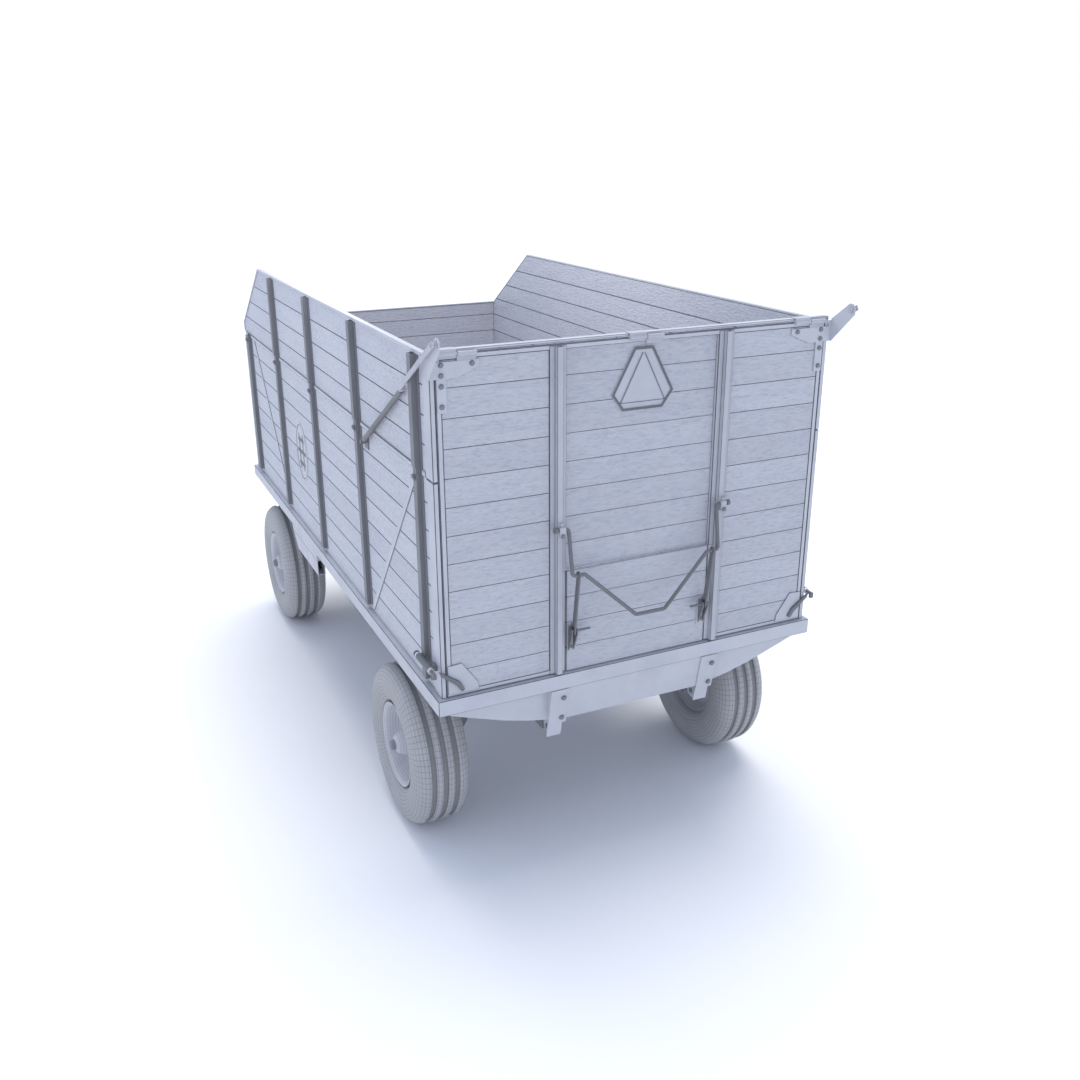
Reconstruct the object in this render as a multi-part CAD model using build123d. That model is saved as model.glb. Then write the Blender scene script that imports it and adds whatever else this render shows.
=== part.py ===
from build123d import *
import math
import os

# Farm dump wagon: a boarded grain box on a four-wheel steering gear.
# Frame: +X is the wagon's right, +Y is forward, +Z is up, millimetres.
# Local y starts at the rear face of the tailgate; Y_SHIFT moves it to the row frame.
Y_SHIFT = -3121.0

# ---- overall sizes ----
DECK_Z = 1142.0
BOARD_PITCH = 140.0
BOARD_GAP = 2.0
BOARD_THICK = 22.0
LOWER_BOARDS = 8
UPPER_BOARDS = 4
SEAM_Z = DECK_Z + LOWER_BOARDS * BOARD_PITCH
TOP_Z = SEAM_Z + UPPER_BOARDS * BOARD_PITCH
WALL_OUT_X = 1085.0
WALL_IN_X = WALL_OUT_X - BOARD_THICK
WALL_Y0 = 46.0
WALL_Y1 = 4445.0
FRONT_WALL_Y = 4400.0
FRONT_TOP_Z = DECK_Z + 1220.0
SLANT_TOP_Y = 3680.0
SLANT_LOW_Y = 4425.0
SLANT_LOW_Z = DECK_Z + 1200.0
HEADER_TOP = TOP_Z + 30.0

# ---- bed ----
SILL_OUT_X = 1118.0
SILL_REAR_Y = -23.0
SILL_FRONT_Y = 4484.0
SILL_HIGH = 84.0
SILL_WIDE = 58.0
SILL_BOTTOM_Z = DECK_Z - SILL_HIGH
PLANK_THICK = 30.0
PLANK_COUNT = 14
MAIN_SILL_X = 450.0
MAIN_SILL_WIDE = 70.0
MAIN_SILL_BOTTOM_Z = 842.0
CROSS_COUNT = 9
CROSS_WIDE = 60.0
BEAM_TOP_Y = -14.0
BEAM_LEAN = 0.204
BEAM_THICK = 8.0
BEAM_LOW_Z = 855.0
BEAM_HALF = 505.0
WING_Y = 34.0
SILL_START_Y = 36.0

# ---- stakes ----
STAKE_FIRST_Y = 200.0
STAKE_STEP = 1010.0
STAKE_COUNT = 5
STAKE_FLANGE_TOTAL = 98.0
STAKE_CROWN = 48.0
LOWER_STAKE_DEEP = 27.0
UPPER_STAKE_DEEP = 33.0
STAKE_WALL = 5.0

# ---- tailgate ----
GATE_HALF = 1062.0
GATE_DEEP = 40.0
GATE_FRAME_WIDE = 24.0
GATE_BOTTOM_Z = DECK_Z + 8.0
GATE_TOP_Z = 2830.0
HINGE_Y = -12.0
HINGE_Z = 2834.0
HINGE_R = 10.0
HINGE_PIN_R = 5.0
KNUCKLE_LONG = 90.0
KNUCKLE_GAP = 6.0
GATE_STAKE_X = 463.5
GATE_STAKE_TOTAL = 87.0
GATE_STAKE_CROWN = 32.0
GATE_STAKE_DEEP = 30.0
GATE_STAKE_WALL = 4.0
DOOR_HALF = 415.0
DOOR_BOARDS = 4
DOOR_TOP_Z = DECK_Z + DOOR_BOARDS * BOARD_PITCH
DOOR_FRONT_Y = -3.0
DOOR_THICK = 18.0
CENTRE_BOARD_Y = 17.0

# ---- bail and lifting links ----
BAIL_R = 10.0
BAIL_Y = -45.0
BAIL_Z = 1942.0
BAIL_TILT = 10.0
BAIL_END_X = 502.0
BAIL_ARM_X = 426.0
BAIL_EYE_OUT_X = 418.0
BAIL_EYE_IN_X = 362.0
BAIL_EYE_DROP = 238.4
BAIL_LOW_X = 84.0
BAIL_LOW_DROP = 495.0
BAIL_BEND = 20.0
RUN_FIT = 0.05
LINK_X = 390.0
LINK_THICK = 8.0
LINK_WIDE = 32.0
DOOR_PIN_Y = -40.0
DOOR_PIN_Z = 1386.0
DOOR_PIN_R = 6.0
SLOT_UP = 25.0
SLOT_DOWN = 7.0
SLOT_IN = 19.0
SLOT_OUT = 7.0

# ---- gate stays ----
STAY_X = 1110.0
STAY_PIN_Y = -150.0
STAY_PIN_Z = 2905.0
STAY_FOOT_Y = 1069.0
STAY_FOOT_Z = 2186.0
STAY_TUBE_R = 14.0
STAY_ROD_R = 10.0
STAY_FIT = 0.06
STAY_BAR_LONG = 569.0
STAY_BAR_WIDE = 26.0
STAY_BAR_IN_X = 1124.5
STAY_BAR_OUT_X = 1130.5
STAY_SHORTENING = 27.6
STAY_EYE_HALF = 8.0
STAY_FOOT_PIN_R = 6.0
STAY_PIN_R = 5.0
WING_X = 1100.0
WING_THICK = 6.0
WING_HOLE_R = 12.4
GUSSET_BOLT_R = 9.0

# ---- side latches ----
LATCH_X = 1131.0
LATCH_Z = DECK_Z + 150.0
LATCH_SHAFT_R = 10.0

# ---- running gear ----
WHEEL_X = 977.0
WHEEL_R = 470.0
REAR_AXLE_Y = 774.0
FRONT_AXLE_Y = 3873.0
TYRE_HALF_WIDE = 160.0
RIM_R = 229.0
GROOVE_STEP = 66.0
GROOVE_WIDE = 28.0
GROOVE_DEEP = 12.0
SPINDLE_R = 28.0
AXLE_BEAM = 100.0
ARCH_LOW_Z = 610.0
ARCH_TOP_Z = 700.0
RAIL_X = 450.0
RAIL_WIDE = 60.0
RAIL_BOTTOM_Z = 742.0
RAIL_TOP_Z = 840.0
TIP_Y = 92.0
TIP_Z = 790.0
TIP_PIN_R = 14.0
KING_X = 760.0
KING_R = 16.0
KING_BARREL_R = 36.0
KING_BARREL_LOW = 421.0
KING_BARREL_TOP = 519.0
STEER_ARM = 200.0
ROD_EYE_R = 22.0
ROD_PIN_R = 9.0
LEFT_ROD_Z = 427.0
RIGHT_ROD_Z = 448.0
STEER_PLATE_Z = 398.0
STEER_PLATE_THICK = 16.0
STEER_PIN_R = 20.0
DRAWBAR_HINGE = 330.0
DRAWBAR_Z = 432.0
DRAWBAR_PIN_R = 12.0
DRAWBAR_END_Y = 6270.0
HITCH_PIN_Y = 6350.0
HITCH_FRONT_Y = 6422.0
HITCH_HOLE_R = 16.0


def block(x0, x1, y0, y1, z0, z1):
    """Box from its six faces."""
    size = Box(x1 - x0, y1 - y0, z1 - z0)
    return Pos((x0 + x1) / 2, (y0 + y1) / 2, (z0 + z1) / 2) * size


def rod_x(x0, x1, y, z, radius):
    """Round bar along X."""
    return Pos((x0 + x1) / 2, y, z) * Rot(0, 90, 0) * Cylinder(radius, x1 - x0)


def rod_y(x, y0, y1, z, radius):
    """Round bar along Y."""
    return Pos(x, (y0 + y1) / 2, z) * Rot(90, 0, 0) * Cylinder(radius, y1 - y0)


def rod_z(x, y, z0, z1, radius):
    """Round bar along Z."""
    return Pos(x, y, (z0 + z1) / 2) * Cylinder(radius, z1 - z0)


def plate_x(points, x0, x1):
    """Plate in the YZ plane between x0 and x1, from (y, z) corners."""
    corners = [(x0, y, z) for y, z in points]
    face = make_face(Polyline(*corners, close=True))
    return extrude(face, amount=x1 - x0, dir=(1, 0, 0))


def plate_y(points, y0, y1):
    """Plate in the XZ plane between y0 and y1, from (x, z) corners."""
    corners = [(x, y0, z) for x, z in points]
    face = make_face(Polyline(*corners, close=True))
    return extrude(face, amount=y1 - y0, dir=(0, 1, 0))


def bar_between(x_mid, thick, start, end, wide):
    """Flat bar in the YZ plane from one (y, z) point to another."""
    run = end[0] - start[0]
    rise = end[1] - start[1]
    long = math.hypot(run, rise)
    angle = math.degrees(math.atan2(rise, run))
    centre = Pos(x_mid, (start[0] + end[0]) / 2, (start[1] + end[1]) / 2)
    return centre * Rot(angle, 0, 0) * Box(thick, long, wide)


def hat_section(total, crown, deep, wall):
    """Open hat profile: flanges on y = 0, crown at y = -deep."""
    half = total / 2
    inner = crown / 2
    points = [
        (-half, 0),
        (-half, -wall),
        (-inner, -wall),
        (-inner, -deep),
        (inner, -deep),
        (inner, -wall),
        (half, -wall),
        (half, 0),
        (inner - wall, 0),
        (inner - wall, wall - deep),
        (wall - inner, wall - deep),
        (wall - inner, 0),
    ]
    return make_face(Polyline(*points, close=True))


def hat_stake(x, y, z0, z1, face_angle, deep):
    """Vertical hat stake whose crown looks along face_angle."""
    profile = hat_section(STAKE_FLANGE_TOTAL, STAKE_CROWN, deep, STAKE_WALL)
    body = extrude(profile, amount=z1 - z0, dir=(0, 0, 1))
    return Pos(x, y, z0) * Rot(0, 0, face_angle) * body


def group(solids):
    """Loose assembly of solids in one node."""
    flat = []
    for item in solids:
        flat.extend(item.solids())
    return Compound(flat)


def fused(solids):
    """Welded assembly of solids."""
    body = solids[0]
    for item in solids[1:]:
        body = body + item
    return body


def both_sides(solids):
    """The given solids and their mirror images across the YZ plane."""
    return solids + [item.mirror(Plane.YZ) for item in solids]


# ---------------------------------------------------------------- bed


def floor_planks():
    wide = 2 * (SILL_OUT_X - SILL_WIDE) / PLANK_COUNT
    planks = []
    for index in range(PLANK_COUNT):
        x0 = -(SILL_OUT_X - SILL_WIDE) + index * wide + BOARD_GAP
        x1 = x0 + wide - 2 * BOARD_GAP
        planks.append(block(x0, x1, GATE_DEEP + 1.5, FRONT_WALL_Y - 1, DECK_Z - PLANK_THICK, DECK_Z))
    return group(planks)


def bed_sills():
    outer = block(-SILL_OUT_X, SILL_OUT_X, SILL_REAR_Y, SILL_FRONT_Y, SILL_BOTTOM_Z, DECK_Z)
    inner = block(-SILL_OUT_X + SILL_WIDE, SILL_OUT_X - SILL_WIDE, SILL_REAR_Y + SILL_WIDE,
                  SILL_FRONT_Y - SILL_WIDE, SILL_BOTTOM_Z - 1, DECK_Z + 1)
    return outer - inner


def floor_frame():
    front_y = SILL_FRONT_Y - SILL_WIDE
    web = MAIN_SILL_WIDE / 2
    wall = 8.0
    solids = []
    for side in (-1, 1):
        mid = side * MAIN_SILL_X
        beam = block(mid - web, mid + web, SILL_START_Y, front_y, MAIN_SILL_BOTTOM_Z, SILL_BOTTOM_Z)
        pocket_lo = MAIN_SILL_BOTTOM_Z + wall
        pocket_hi = SILL_BOTTOM_Z - wall
        outer = mid + side * web
        inner = mid - side * (web - wall)
        pocket = block(min(outer + side, inner), max(outer + side, inner), 130.0, front_y - 90.0,
                       pocket_lo, pocket_hi)
        solids.append(beam - pocket)
    first = SILL_REAR_Y + SILL_WIDE + 40.0
    step = (front_y - 40.0 - first) / (CROSS_COUNT - 1)
    reach = SILL_OUT_X - SILL_WIDE
    for index in range(CROSS_COUNT):
        y = first + index * step
        solids.append(block(-reach, reach, y - CROSS_WIDE / 2, y + CROSS_WIDE / 2,
                            SILL_BOTTOM_Z, DECK_Z - PLANK_THICK))
    return group(solids)


def beam_y(z):
    """Rear face of the leaning beam panel at a height."""
    return BEAM_TOP_Y + (SILL_BOTTOM_Z - z) * BEAM_LEAN


def leaning_plate(x0, x1, z0, z1, front, back):
    outline = [(beam_y(z0) + front, z0), (beam_y(z1) + front, z1), (beam_y(z1) + back, z1), (beam_y(z0) + back, z0)]
    return plate_x(outline, x0, x1)


def rear_beam():
    """Leaning centre panel with a bottom flange, cheeks and two upright wings."""
    cheek_wide = 6.0
    top = SILL_BOTTOM_Z
    solids = [leaning_plate(-BEAM_HALF, BEAM_HALF, BEAM_LOW_Z, top, 0, BEAM_THICK)]
    flange = block(-498, 498, WING_Y, 60, BEAM_LOW_Z, BEAM_LOW_Z + 8)
    for side in (-1, 1):
        mid = side * MAIN_SILL_X
        flange = flange - block(mid - 36, mid + 36, WING_Y - 1, 61, BEAM_LOW_Z - 1, BEAM_LOW_Z + 9)
    solids.extend(flange.solids())
    wing_outline = [(BEAM_HALF, top), (1050, top), (1042, 1021), (870, 962), (750, 922), (610, 886), (BEAM_HALF, 866)]
    wing = plate_y(wing_outline, WING_Y, WING_Y + BEAM_THICK)
    cheek_outline = [(beam_y(top) + BEAM_THICK, top), (WING_Y + BEAM_THICK, top), (WING_Y + BEAM_THICK, 862),
                     (beam_y(862) + BEAM_THICK, 862)]
    cheek = plate_x(cheek_outline, BEAM_HALF - cheek_wide, BEAM_HALF)
    solids.extend([wing, wing.mirror(Plane.YZ), cheek, cheek.mirror(Plane.YZ)])
    return group(solids)


def rear_brackets():
    """Two leaning plates whose tabs carry the ears of the tipping hinge."""
    solids = []
    for side in (-1, 1):
        mid = side * 455.0
        bracket = leaning_plate(mid - 50, mid + 52, 836, SILL_BOTTOM_Z - 4, -7, 0)
        bracket = bracket + leaning_plate(mid - 52, mid + 30, 758, 838, -7, 1)
        for z in (872.0, 1000.0):
            bracket = bracket + rod_y(mid + 24, beam_y(z) - 13, beam_y(z) - 4, z, 11.0)
        for ear_mid in (side * RAIL_X - 23.0, side * RAIL_X + 23.0):
            ear = plate_x([(beam_y(840) - 2, 840), (beam_y(760) - 2, 760), (TIP_Y, 752), (TIP_Y + 36, 768),
                           (TIP_Y + 50, 840)], ear_mid - 6, ear_mid + 6)
            ear = ear - rod_x(ear_mid - 10, ear_mid + 10, TIP_Y, TIP_Z, TIP_PIN_R + RUN_FIT)
            bracket = bracket + ear
        solids.append(bracket)
    return group(solids)


def wheel_guards():
    """Under-sill box rails, open at the rear and cut back at the front."""
    outline = [(2400, 907), (2985, 907), (3112, 1030), (3112, SILL_BOTTOM_Z), (2400, SILL_BOTTOM_Z)]
    shell = plate_x(outline, 1064.0, 1116.0)
    core = block(1069.0, 1111.0, 2390.0, 2960.0, 912.0, 1012.0)
    rib = block(1116.0, 1117.5, 2680.0, 2686.0, 909.0, 1012.0)
    ledge = block(1116.0, 1117.8, 2400.0, 3060.0, 1010.0, 1016.0)
    guard = fused([shell - core, rib, ledge])
    return group([guard, guard.mirror(Plane.YZ)])


# ---------------------------------------------------------------- walls


def wall_board(index, x0, x1, y0, y1):
    z0 = DECK_Z + index * BOARD_PITCH + BOARD_GAP / 2
    return block(x0, x1, y0, y1, z0, z0 + BOARD_PITCH - BOARD_GAP)


def side_boards(side):
    x0 = min(side * WALL_IN_X, side * WALL_OUT_X)
    x1 = max(side * WALL_IN_X, side * WALL_OUT_X)
    return group([wall_board(i, x0, x1, WALL_Y0, WALL_Y1) for i in range(LOWER_BOARDS)])


def extension_boards(side):
    x0 = min(side * WALL_IN_X, side * WALL_OUT_X)
    x1 = max(side * WALL_IN_X, side * WALL_OUT_X)
    slope = (SLANT_TOP_Y - SLANT_LOW_Y) / (TOP_Z - SLANT_LOW_Z)
    cut_points = [
        (SLANT_LOW_Y, SLANT_LOW_Z),
        (SLANT_TOP_Y + slope * 40, TOP_Z + 40),
        (WALL_Y1 + 100, TOP_Z + 40),
        (WALL_Y1 + 100, SEAM_Z - 20),
        (SLANT_LOW_Y, SEAM_Z - 20),
    ]
    cutter = plate_x(cut_points, x0 - 5, x1 + 5)
    boards = []
    for index in range(LOWER_BOARDS, LOWER_BOARDS + UPPER_BOARDS):
        boards.append(wall_board(index, x0, x1, WALL_Y0, WALL_Y1) - cutter)
    return group(boards)


def front_boards():
    boards = []
    z0 = DECK_Z
    half = WALL_IN_X - 1.0
    while z0 < FRONT_TOP_Z - 1:
        z1 = min(z0 + BOARD_PITCH, FRONT_TOP_Z)
        boards.append(block(-half, half, FRONT_WALL_Y, FRONT_WALL_Y + BOARD_THICK, z0 + 0.5, z1 - 0.5))
        z0 = z1
    return group(boards)


def side_stakes(side):
    """Lower and extension stakes of one wall, with their joining bolts."""
    angle = 90.0 * side
    x = side * WALL_OUT_X
    solids = []
    for index in range(STAKE_COUNT):
        y = STAKE_FIRST_Y + index * STAKE_STEP
        top = SEAM_Z + 19.5 if index < STAKE_COUNT - 1 else SEAM_Z + 10
        lower = hat_stake(x, y, DECK_Z + 34, top, angle, LOWER_STAKE_DEEP)
        crown = side * (WALL_OUT_X + LOWER_STAKE_DEEP)
        bolt = rod_x(min(crown, crown + side * 7), max(crown, crown + side * 7), y, SEAM_Z - 40, 10.0)
        solids.append(lower + bolt)
        if index < STAKE_COUNT - 1:
            solids.append(hat_stake(x, y, SEAM_Z + 20, TOP_Z - 10, angle, UPPER_STAKE_DEEP))
    return group(solids)


def front_stakes():
    solids = []
    for x in (-720.0, 0.0, 720.0):
        stake = hat_stake(x, FRONT_WALL_Y + BOARD_THICK, DECK_Z + 4, FRONT_TOP_Z - 30, 180.0, LOWER_STAKE_DEEP)
        solids.append(stake)
    for side in (-1, 1):
        x0 = side * (WALL_OUT_X + 0.5)
        x1 = side * (WALL_OUT_X + 5.5)
        leg = block(min(x0, x1), max(x0, x1), WALL_Y1 - 38, WALL_Y1 + 7, DECK_Z, SEAM_Z - 26)
        face = block(min(side * 1010, x1), max(side * 1010, x1), WALL_Y1 + 2, WALL_Y1 + 7, DECK_Z, SEAM_Z - 26)
        solids.append(leg + face)
    rail = block(-WALL_IN_X + 2, WALL_IN_X - 2, FRONT_WALL_Y - 6, FRONT_WALL_Y + BOARD_THICK + 6,
                 FRONT_TOP_Z, FRONT_TOP_Z + 8)
    solids.append(rail)
    return group(solids)


def corner_posts():
    """Square rear posts in two lengths, with the outer corner plate."""
    solids = []
    for side in (-1, 1):
        for z0, z1 in ((DECK_Z, SEAM_Z - 14), (SEAM_Z - 10, TOP_Z + 18)):
            x0 = side * 1066.5
            x1 = side * 1091.0
            post = block(min(x0, x1), max(x0, x1), 2.0, WALL_Y0 - 1, z0, z1)
            x0 = side * (WALL_OUT_X + 0.5)
            strip_top = z1 if z1 < TOP_Z else TOP_Z - 6
            strip = block(min(x0, x1), max(x0, x1), WALL_Y0 - 1, 100.0, z0, strip_top)
            solids.append(post + strip)
    return group(solids)


def seam_rails():
    """Joint rail between lower box and extension, stopped at each stake."""
    solids = []
    for side in (-1, 1):
        x0 = side * (WALL_OUT_X + 0.2)
        x1 = side * (WALL_OUT_X + 8.0)
        stops = [101.0]
        for index in range(STAKE_COUNT):
            y = STAKE_FIRST_Y + index * STAKE_STEP
            stops.extend([y - STAKE_FLANGE_TOTAL / 2 - 1, y + STAKE_FLANGE_TOTAL / 2 + 1])
        stops.append(4404.0)
        for start, end in zip(stops[0::2], stops[1::2]):
            if end - start > 5.0:
                solids.append(block(min(x0, x1), max(x0, x1), start, end, SEAM_Z - 11, SEAM_Z + 13))
    return group(solids)


def top_rails():
    """Cap angle over the extension boards, level part and slanted front end."""
    run = SLANT_LOW_Y - SLANT_TOP_Y
    drop = SLANT_LOW_Z - TOP_Z
    long = math.hypot(run, drop)
    normal = (-drop / long, run / long)
    out_x = WALL_OUT_X + 7
    in_x = WALL_IN_X
    level = block(in_x, out_x, WALL_Y0, SLANT_TOP_Y, TOP_Z, TOP_Z + 9)
    lip = block(WALL_OUT_X + 1, out_x, WALL_Y0 + 55, SLANT_TOP_Y - 6, TOP_Z - 8, TOP_Z)
    a = (SLANT_TOP_Y, TOP_Z)
    b = (SLANT_LOW_Y + 4, SLANT_LOW_Z)
    slant = plate_x([a, (SLANT_TOP_Y, TOP_Z + 9), (a[0] + 4, TOP_Z + 9),
                     (b[0] + normal[0] * 7, b[1] + normal[1] * 7), (b[0], b[1])], in_x, out_x)
    end = block(in_x, out_x, SLANT_LOW_Y, SLANT_LOW_Y + 7, SEAM_Z + 14, SLANT_LOW_Z + 4)
    rail = fused([level, lip, slant, end])
    return group([rail, rail.mirror(Plane.YZ)])


def side_braces():
    """Flat diagonal braces in the first and last bay of each wall."""
    rear = bar_between(WALL_OUT_X + 2.7, 5.0, (270.0, SEAM_Z - 48), (1140.0, DECK_Z + 32), 38.0)
    front = bar_between(WALL_OUT_X + 2.7, 5.0, (4084.0, SEAM_Z - 28), (3298.0, DECK_Z + 108), 38.0)
    return group(both_sides([rear, front]))


def header_bar():
    return block(-1089.0, 1089.0, 0.5, 44.0, TOP_Z + 18.5, HEADER_TOP)


def hinge_starts():
    """Left ends of the three knuckle pairs along the header."""
    pair = 2 * KNUCKLE_LONG + KNUCKLE_GAP
    return (-1056.0, -pair / 2, 1056.0 - pair)


def box_hinges():
    solids = []
    for start in hinge_starts():
        knuckle = rod_x(start, start + KNUCKLE_LONG, HINGE_Y, HINGE_Z, HINGE_R)
        pin = rod_x(start, start + 2 * KNUCKLE_LONG + KNUCKLE_GAP - 4, HINGE_Y, HINGE_Z, HINGE_PIN_R)
        leaf = block(start, start + KNUCKLE_LONG, HINGE_Y, 34.0, HEADER_TOP, HEADER_TOP + 4)
        web = block(start, start + KNUCKLE_LONG, HINGE_Y - 4, HINGE_Y + 4, HINGE_Z, HEADER_TOP + 4)
        solids.append(fused([knuckle, pin, leaf, web]))
    return group(solids)


def side_fittings():
    """Latch sleeves on the rear stakes and foot studs of the gate stays."""
    sleeve = rod_y(LATCH_X, 44.0, 214.0, LATCH_Z, 18.0)
    sleeve = sleeve - rod_y(LATCH_X, 40.0, 220.0, LATCH_Z, LATCH_SHAFT_R + RUN_FIT)
    saddle = block(WALL_OUT_X + LOWER_STAKE_DEEP, LATCH_X - 14, 178.0, 214.0, LATCH_Z - 16, LATCH_Z + 16)
    web = block(1091.2, LATCH_X - 15, 50.0, 92.0, LATCH_Z - 14, LATCH_Z + 14)
    latch = fused([sleeve, saddle, web])
    base = block(WALL_OUT_X + 0.3, WALL_OUT_X + 6, STAY_FOOT_Y - 34, STAY_FOOT_Y + 34,
                 STAY_FOOT_Z - 40, STAY_FOOT_Z + 26)
    inner = STAY_X - STAY_EYE_HALF - 0.5
    outer = STAY_X + STAY_EYE_HALF + 0.5
    collar = rod_x(WALL_OUT_X + 5, inner, STAY_FOOT_Y, STAY_FOOT_Z, 11.0)
    stud = rod_x(WALL_OUT_X + 5, outer + 6, STAY_FOOT_Y, STAY_FOOT_Z, STAY_FOOT_PIN_R)
    head = rod_x(outer, outer + 6, STAY_FOOT_Y, STAY_FOOT_Z, 11.0)
    foot = fused([base, collar, stud, head])
    return group(both_sides([latch, foot]))


def side_badge():
    """Plain oval plate with a raised border on the left wall."""
    plane = Plane(origin=(-WALL_OUT_X, 2716.0, DECK_Z + 560), x_dir=(0, -1, 0), z_dir=(-1, 0, 0))
    plate = extrude(plane * Ellipse(150.0, 205.0), amount=2.0)
    ring = extrude(plane * Ellipse(150.0, 205.0), amount=4.0) - extrude(plane * Ellipse(138.0, 193.0), amount=5.0)
    return plate + ring


# ---------------------------------------------------------------- tailgate


def gate_frame():
    outer = block(-GATE_HALF, GATE_HALF, 0, GATE_DEEP, GATE_BOTTOM_Z, GATE_TOP_Z)
    inside = GATE_HALF - GATE_FRAME_WIDE
    cut_a = block(-inside, -507.0, -1, GATE_DEEP + 1, GATE_BOTTOM_Z + 20, GATE_TOP_Z - 22)
    cut_b = block(507.0, inside, -1, GATE_DEEP + 1, GATE_BOTTOM_Z + 20, GATE_TOP_Z - 22)
    cut_c = block(-420.0, 420.0, -1, GATE_DEEP + 1, GATE_BOTTOM_Z - 5, GATE_TOP_Z - 22)
    frame = outer - cut_a - cut_b - cut_c
    threshold = block(-421.0, 421.0, CENTRE_BOARD_Y, GATE_DEEP, GATE_BOTTOM_Z, GATE_BOTTOM_Z + 10)
    return frame + threshold


def gate_boards():
    """Side panels full height, centre panel above the grain door."""
    boards = []
    inside = GATE_HALF - GATE_FRAME_WIDE
    top = GATE_TOP_Z - 22
    for index in range(LOWER_BOARDS + UPPER_BOARDS):
        z0 = max(DECK_Z + index * BOARD_PITCH, GATE_BOTTOM_Z + 20)
        z1 = min(DECK_Z + (index + 1) * BOARD_PITCH, top)
        z0 = z0 + BOARD_GAP / 2
        z1 = z1 - BOARD_GAP / 2
        boards.append(block(-inside, -507.0, 2, 2 + BOARD_THICK, z0, z1))
        boards.append(block(507.0, inside, 2, 2 + BOARD_THICK, z0, z1))
        if index >= DOOR_BOARDS:
            boards.append(block(-420.0, 420.0, CENTRE_BOARD_Y, CENTRE_BOARD_Y + BOARD_THICK, z0, z1))
    return group(boards)


def gate_stakes():
    """Hat stakes; the inner flange stops where the grain door begins."""
    solids = []
    profile = hat_section(GATE_STAKE_TOTAL, GATE_STAKE_CROWN, GATE_STAKE_DEEP, GATE_STAKE_WALL)
    z0 = GATE_BOTTOM_Z
    z1 = GATE_TOP_Z - 4
    for side in (-1, 1):
        stake = Pos(side * GATE_STAKE_X, 0, z0) * extrude(profile, amount=z1 - z0, dir=(0, 0, 1))
        inner = side * (GATE_STAKE_X - GATE_STAKE_TOTAL / 2)
        web = side * (GATE_STAKE_X - GATE_STAKE_CROWN / 2)
        notch = block(min(inner - side, web), max(inner - side, web), -6, 1, z0 - 1, DOOR_TOP_Z)
        solids.append(stake - notch)
    return group(solids)


def gate_hinges():
    solids = []
    for start in hinge_starts():
        x0 = start + KNUCKLE_LONG + KNUCKLE_GAP
        knuckle = rod_x(x0, x0 + KNUCKLE_LONG, HINGE_Y, HINGE_Z, HINGE_R)
        leaf = block(x0, x0 + KNUCKLE_LONG, -6.0, 0, GATE_TOP_Z - 30, HINGE_Z - 4)
        arm = block(x0, x0 + KNUCKLE_LONG, HINGE_Y - 4, -2.0, HINGE_Z - 14, HINGE_Z - 6)
        bore = rod_x(x0 - 1, x0 + KNUCKLE_LONG + 1, HINGE_Y, HINGE_Z, HINGE_PIN_R + RUN_FIT)
        solids.append(fused([knuckle, leaf, arm]) - bore)
    return group(solids)


def corner_gussets():
    """Corner plates bent round into the wing arms that carry the gate stays."""
    outline = [
        (855.0, DECK_Z + 1658),
        (855.0, DECK_Z + 1630),
        (965.0, DECK_Z + 1582),
        (WING_X + WING_THICK, DECK_Z + 1582),
        (WING_X + WING_THICK, DECK_Z + 1688),
        (1088.0, DECK_Z + 1688),
        (1088.0, DECK_Z + 1658),
    ]
    plate = plate_y(outline, -7.0, -1.0)
    plate = plate + block(860.0, GATE_HALF - 2, -1.0, 0, DECK_Z + 1640, DECK_Z + 1656)
    strap = block(1014.0, 1059.0, -6.0, 0, DECK_Z + 1430, DECK_Z + 1582)
    wing_outline = [
        (-1.0, DECK_Z + 1582),
        (-14.0, DECK_Z + 1582),
        (-176.0, DECK_Z + 1738),
        (-176.0, DECK_Z + 1764),
        (-162.0, DECK_Z + 1788),
        (-136.0, DECK_Z + 1790),
        (-30.0, DECK_Z + 1712),
        (-1.0, DECK_Z + 1692),
    ]
    wing = plate_x(wing_outline, WING_X, WING_X + WING_THICK)
    wing = wing - rod_x(WING_X - 5, WING_X + WING_THICK + 5, STAY_PIN_Y, STAY_PIN_Z, WING_HOLE_R)
    wing = wing - block(WING_X - 5, WING_X + WING_THICK + 5, -7.0, 0.0, DECK_Z + 1570, DECK_Z + 1800)
    for x, z in ((1038, 1645), (1038, 1598), (890, 1643)):
        plate = plate + rod_y(x, -13.0, -6.0, DECK_Z + z, GUSSET_BOLT_R)
    for z in (1550, 1458):
        strap = strap + rod_y(1038, -13.0, -5.0, DECK_Z + z, GUSSET_BOLT_R)
    pieces = [plate, strap, wing]
    return group(pieces + [piece.mirror(Plane.YZ) for piece in pieces])


def striker_bars():
    """Wear plates at the gate's lower corners with the bars the latches close on."""
    wear = plate_y([(1058, DECK_Z + 174), (985, DECK_Z + 178), (902, DECK_Z + 60), (896, DECK_Z + 18),
                    (1058, DECK_Z + 18)], -4.0, 0.0)
    bar = [(1106, DECK_Z + 160), (1098, DECK_Z + 136), (1016, DECK_Z + 66), (990, DECK_Z + 30),
           (976, DECK_Z + 40), (1000, DECK_Z + 84)]
    striker = plate_y(bar, -17.0, -4.0)
    body = wear + striker
    return group([body, body.mirror(Plane.YZ)])


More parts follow.
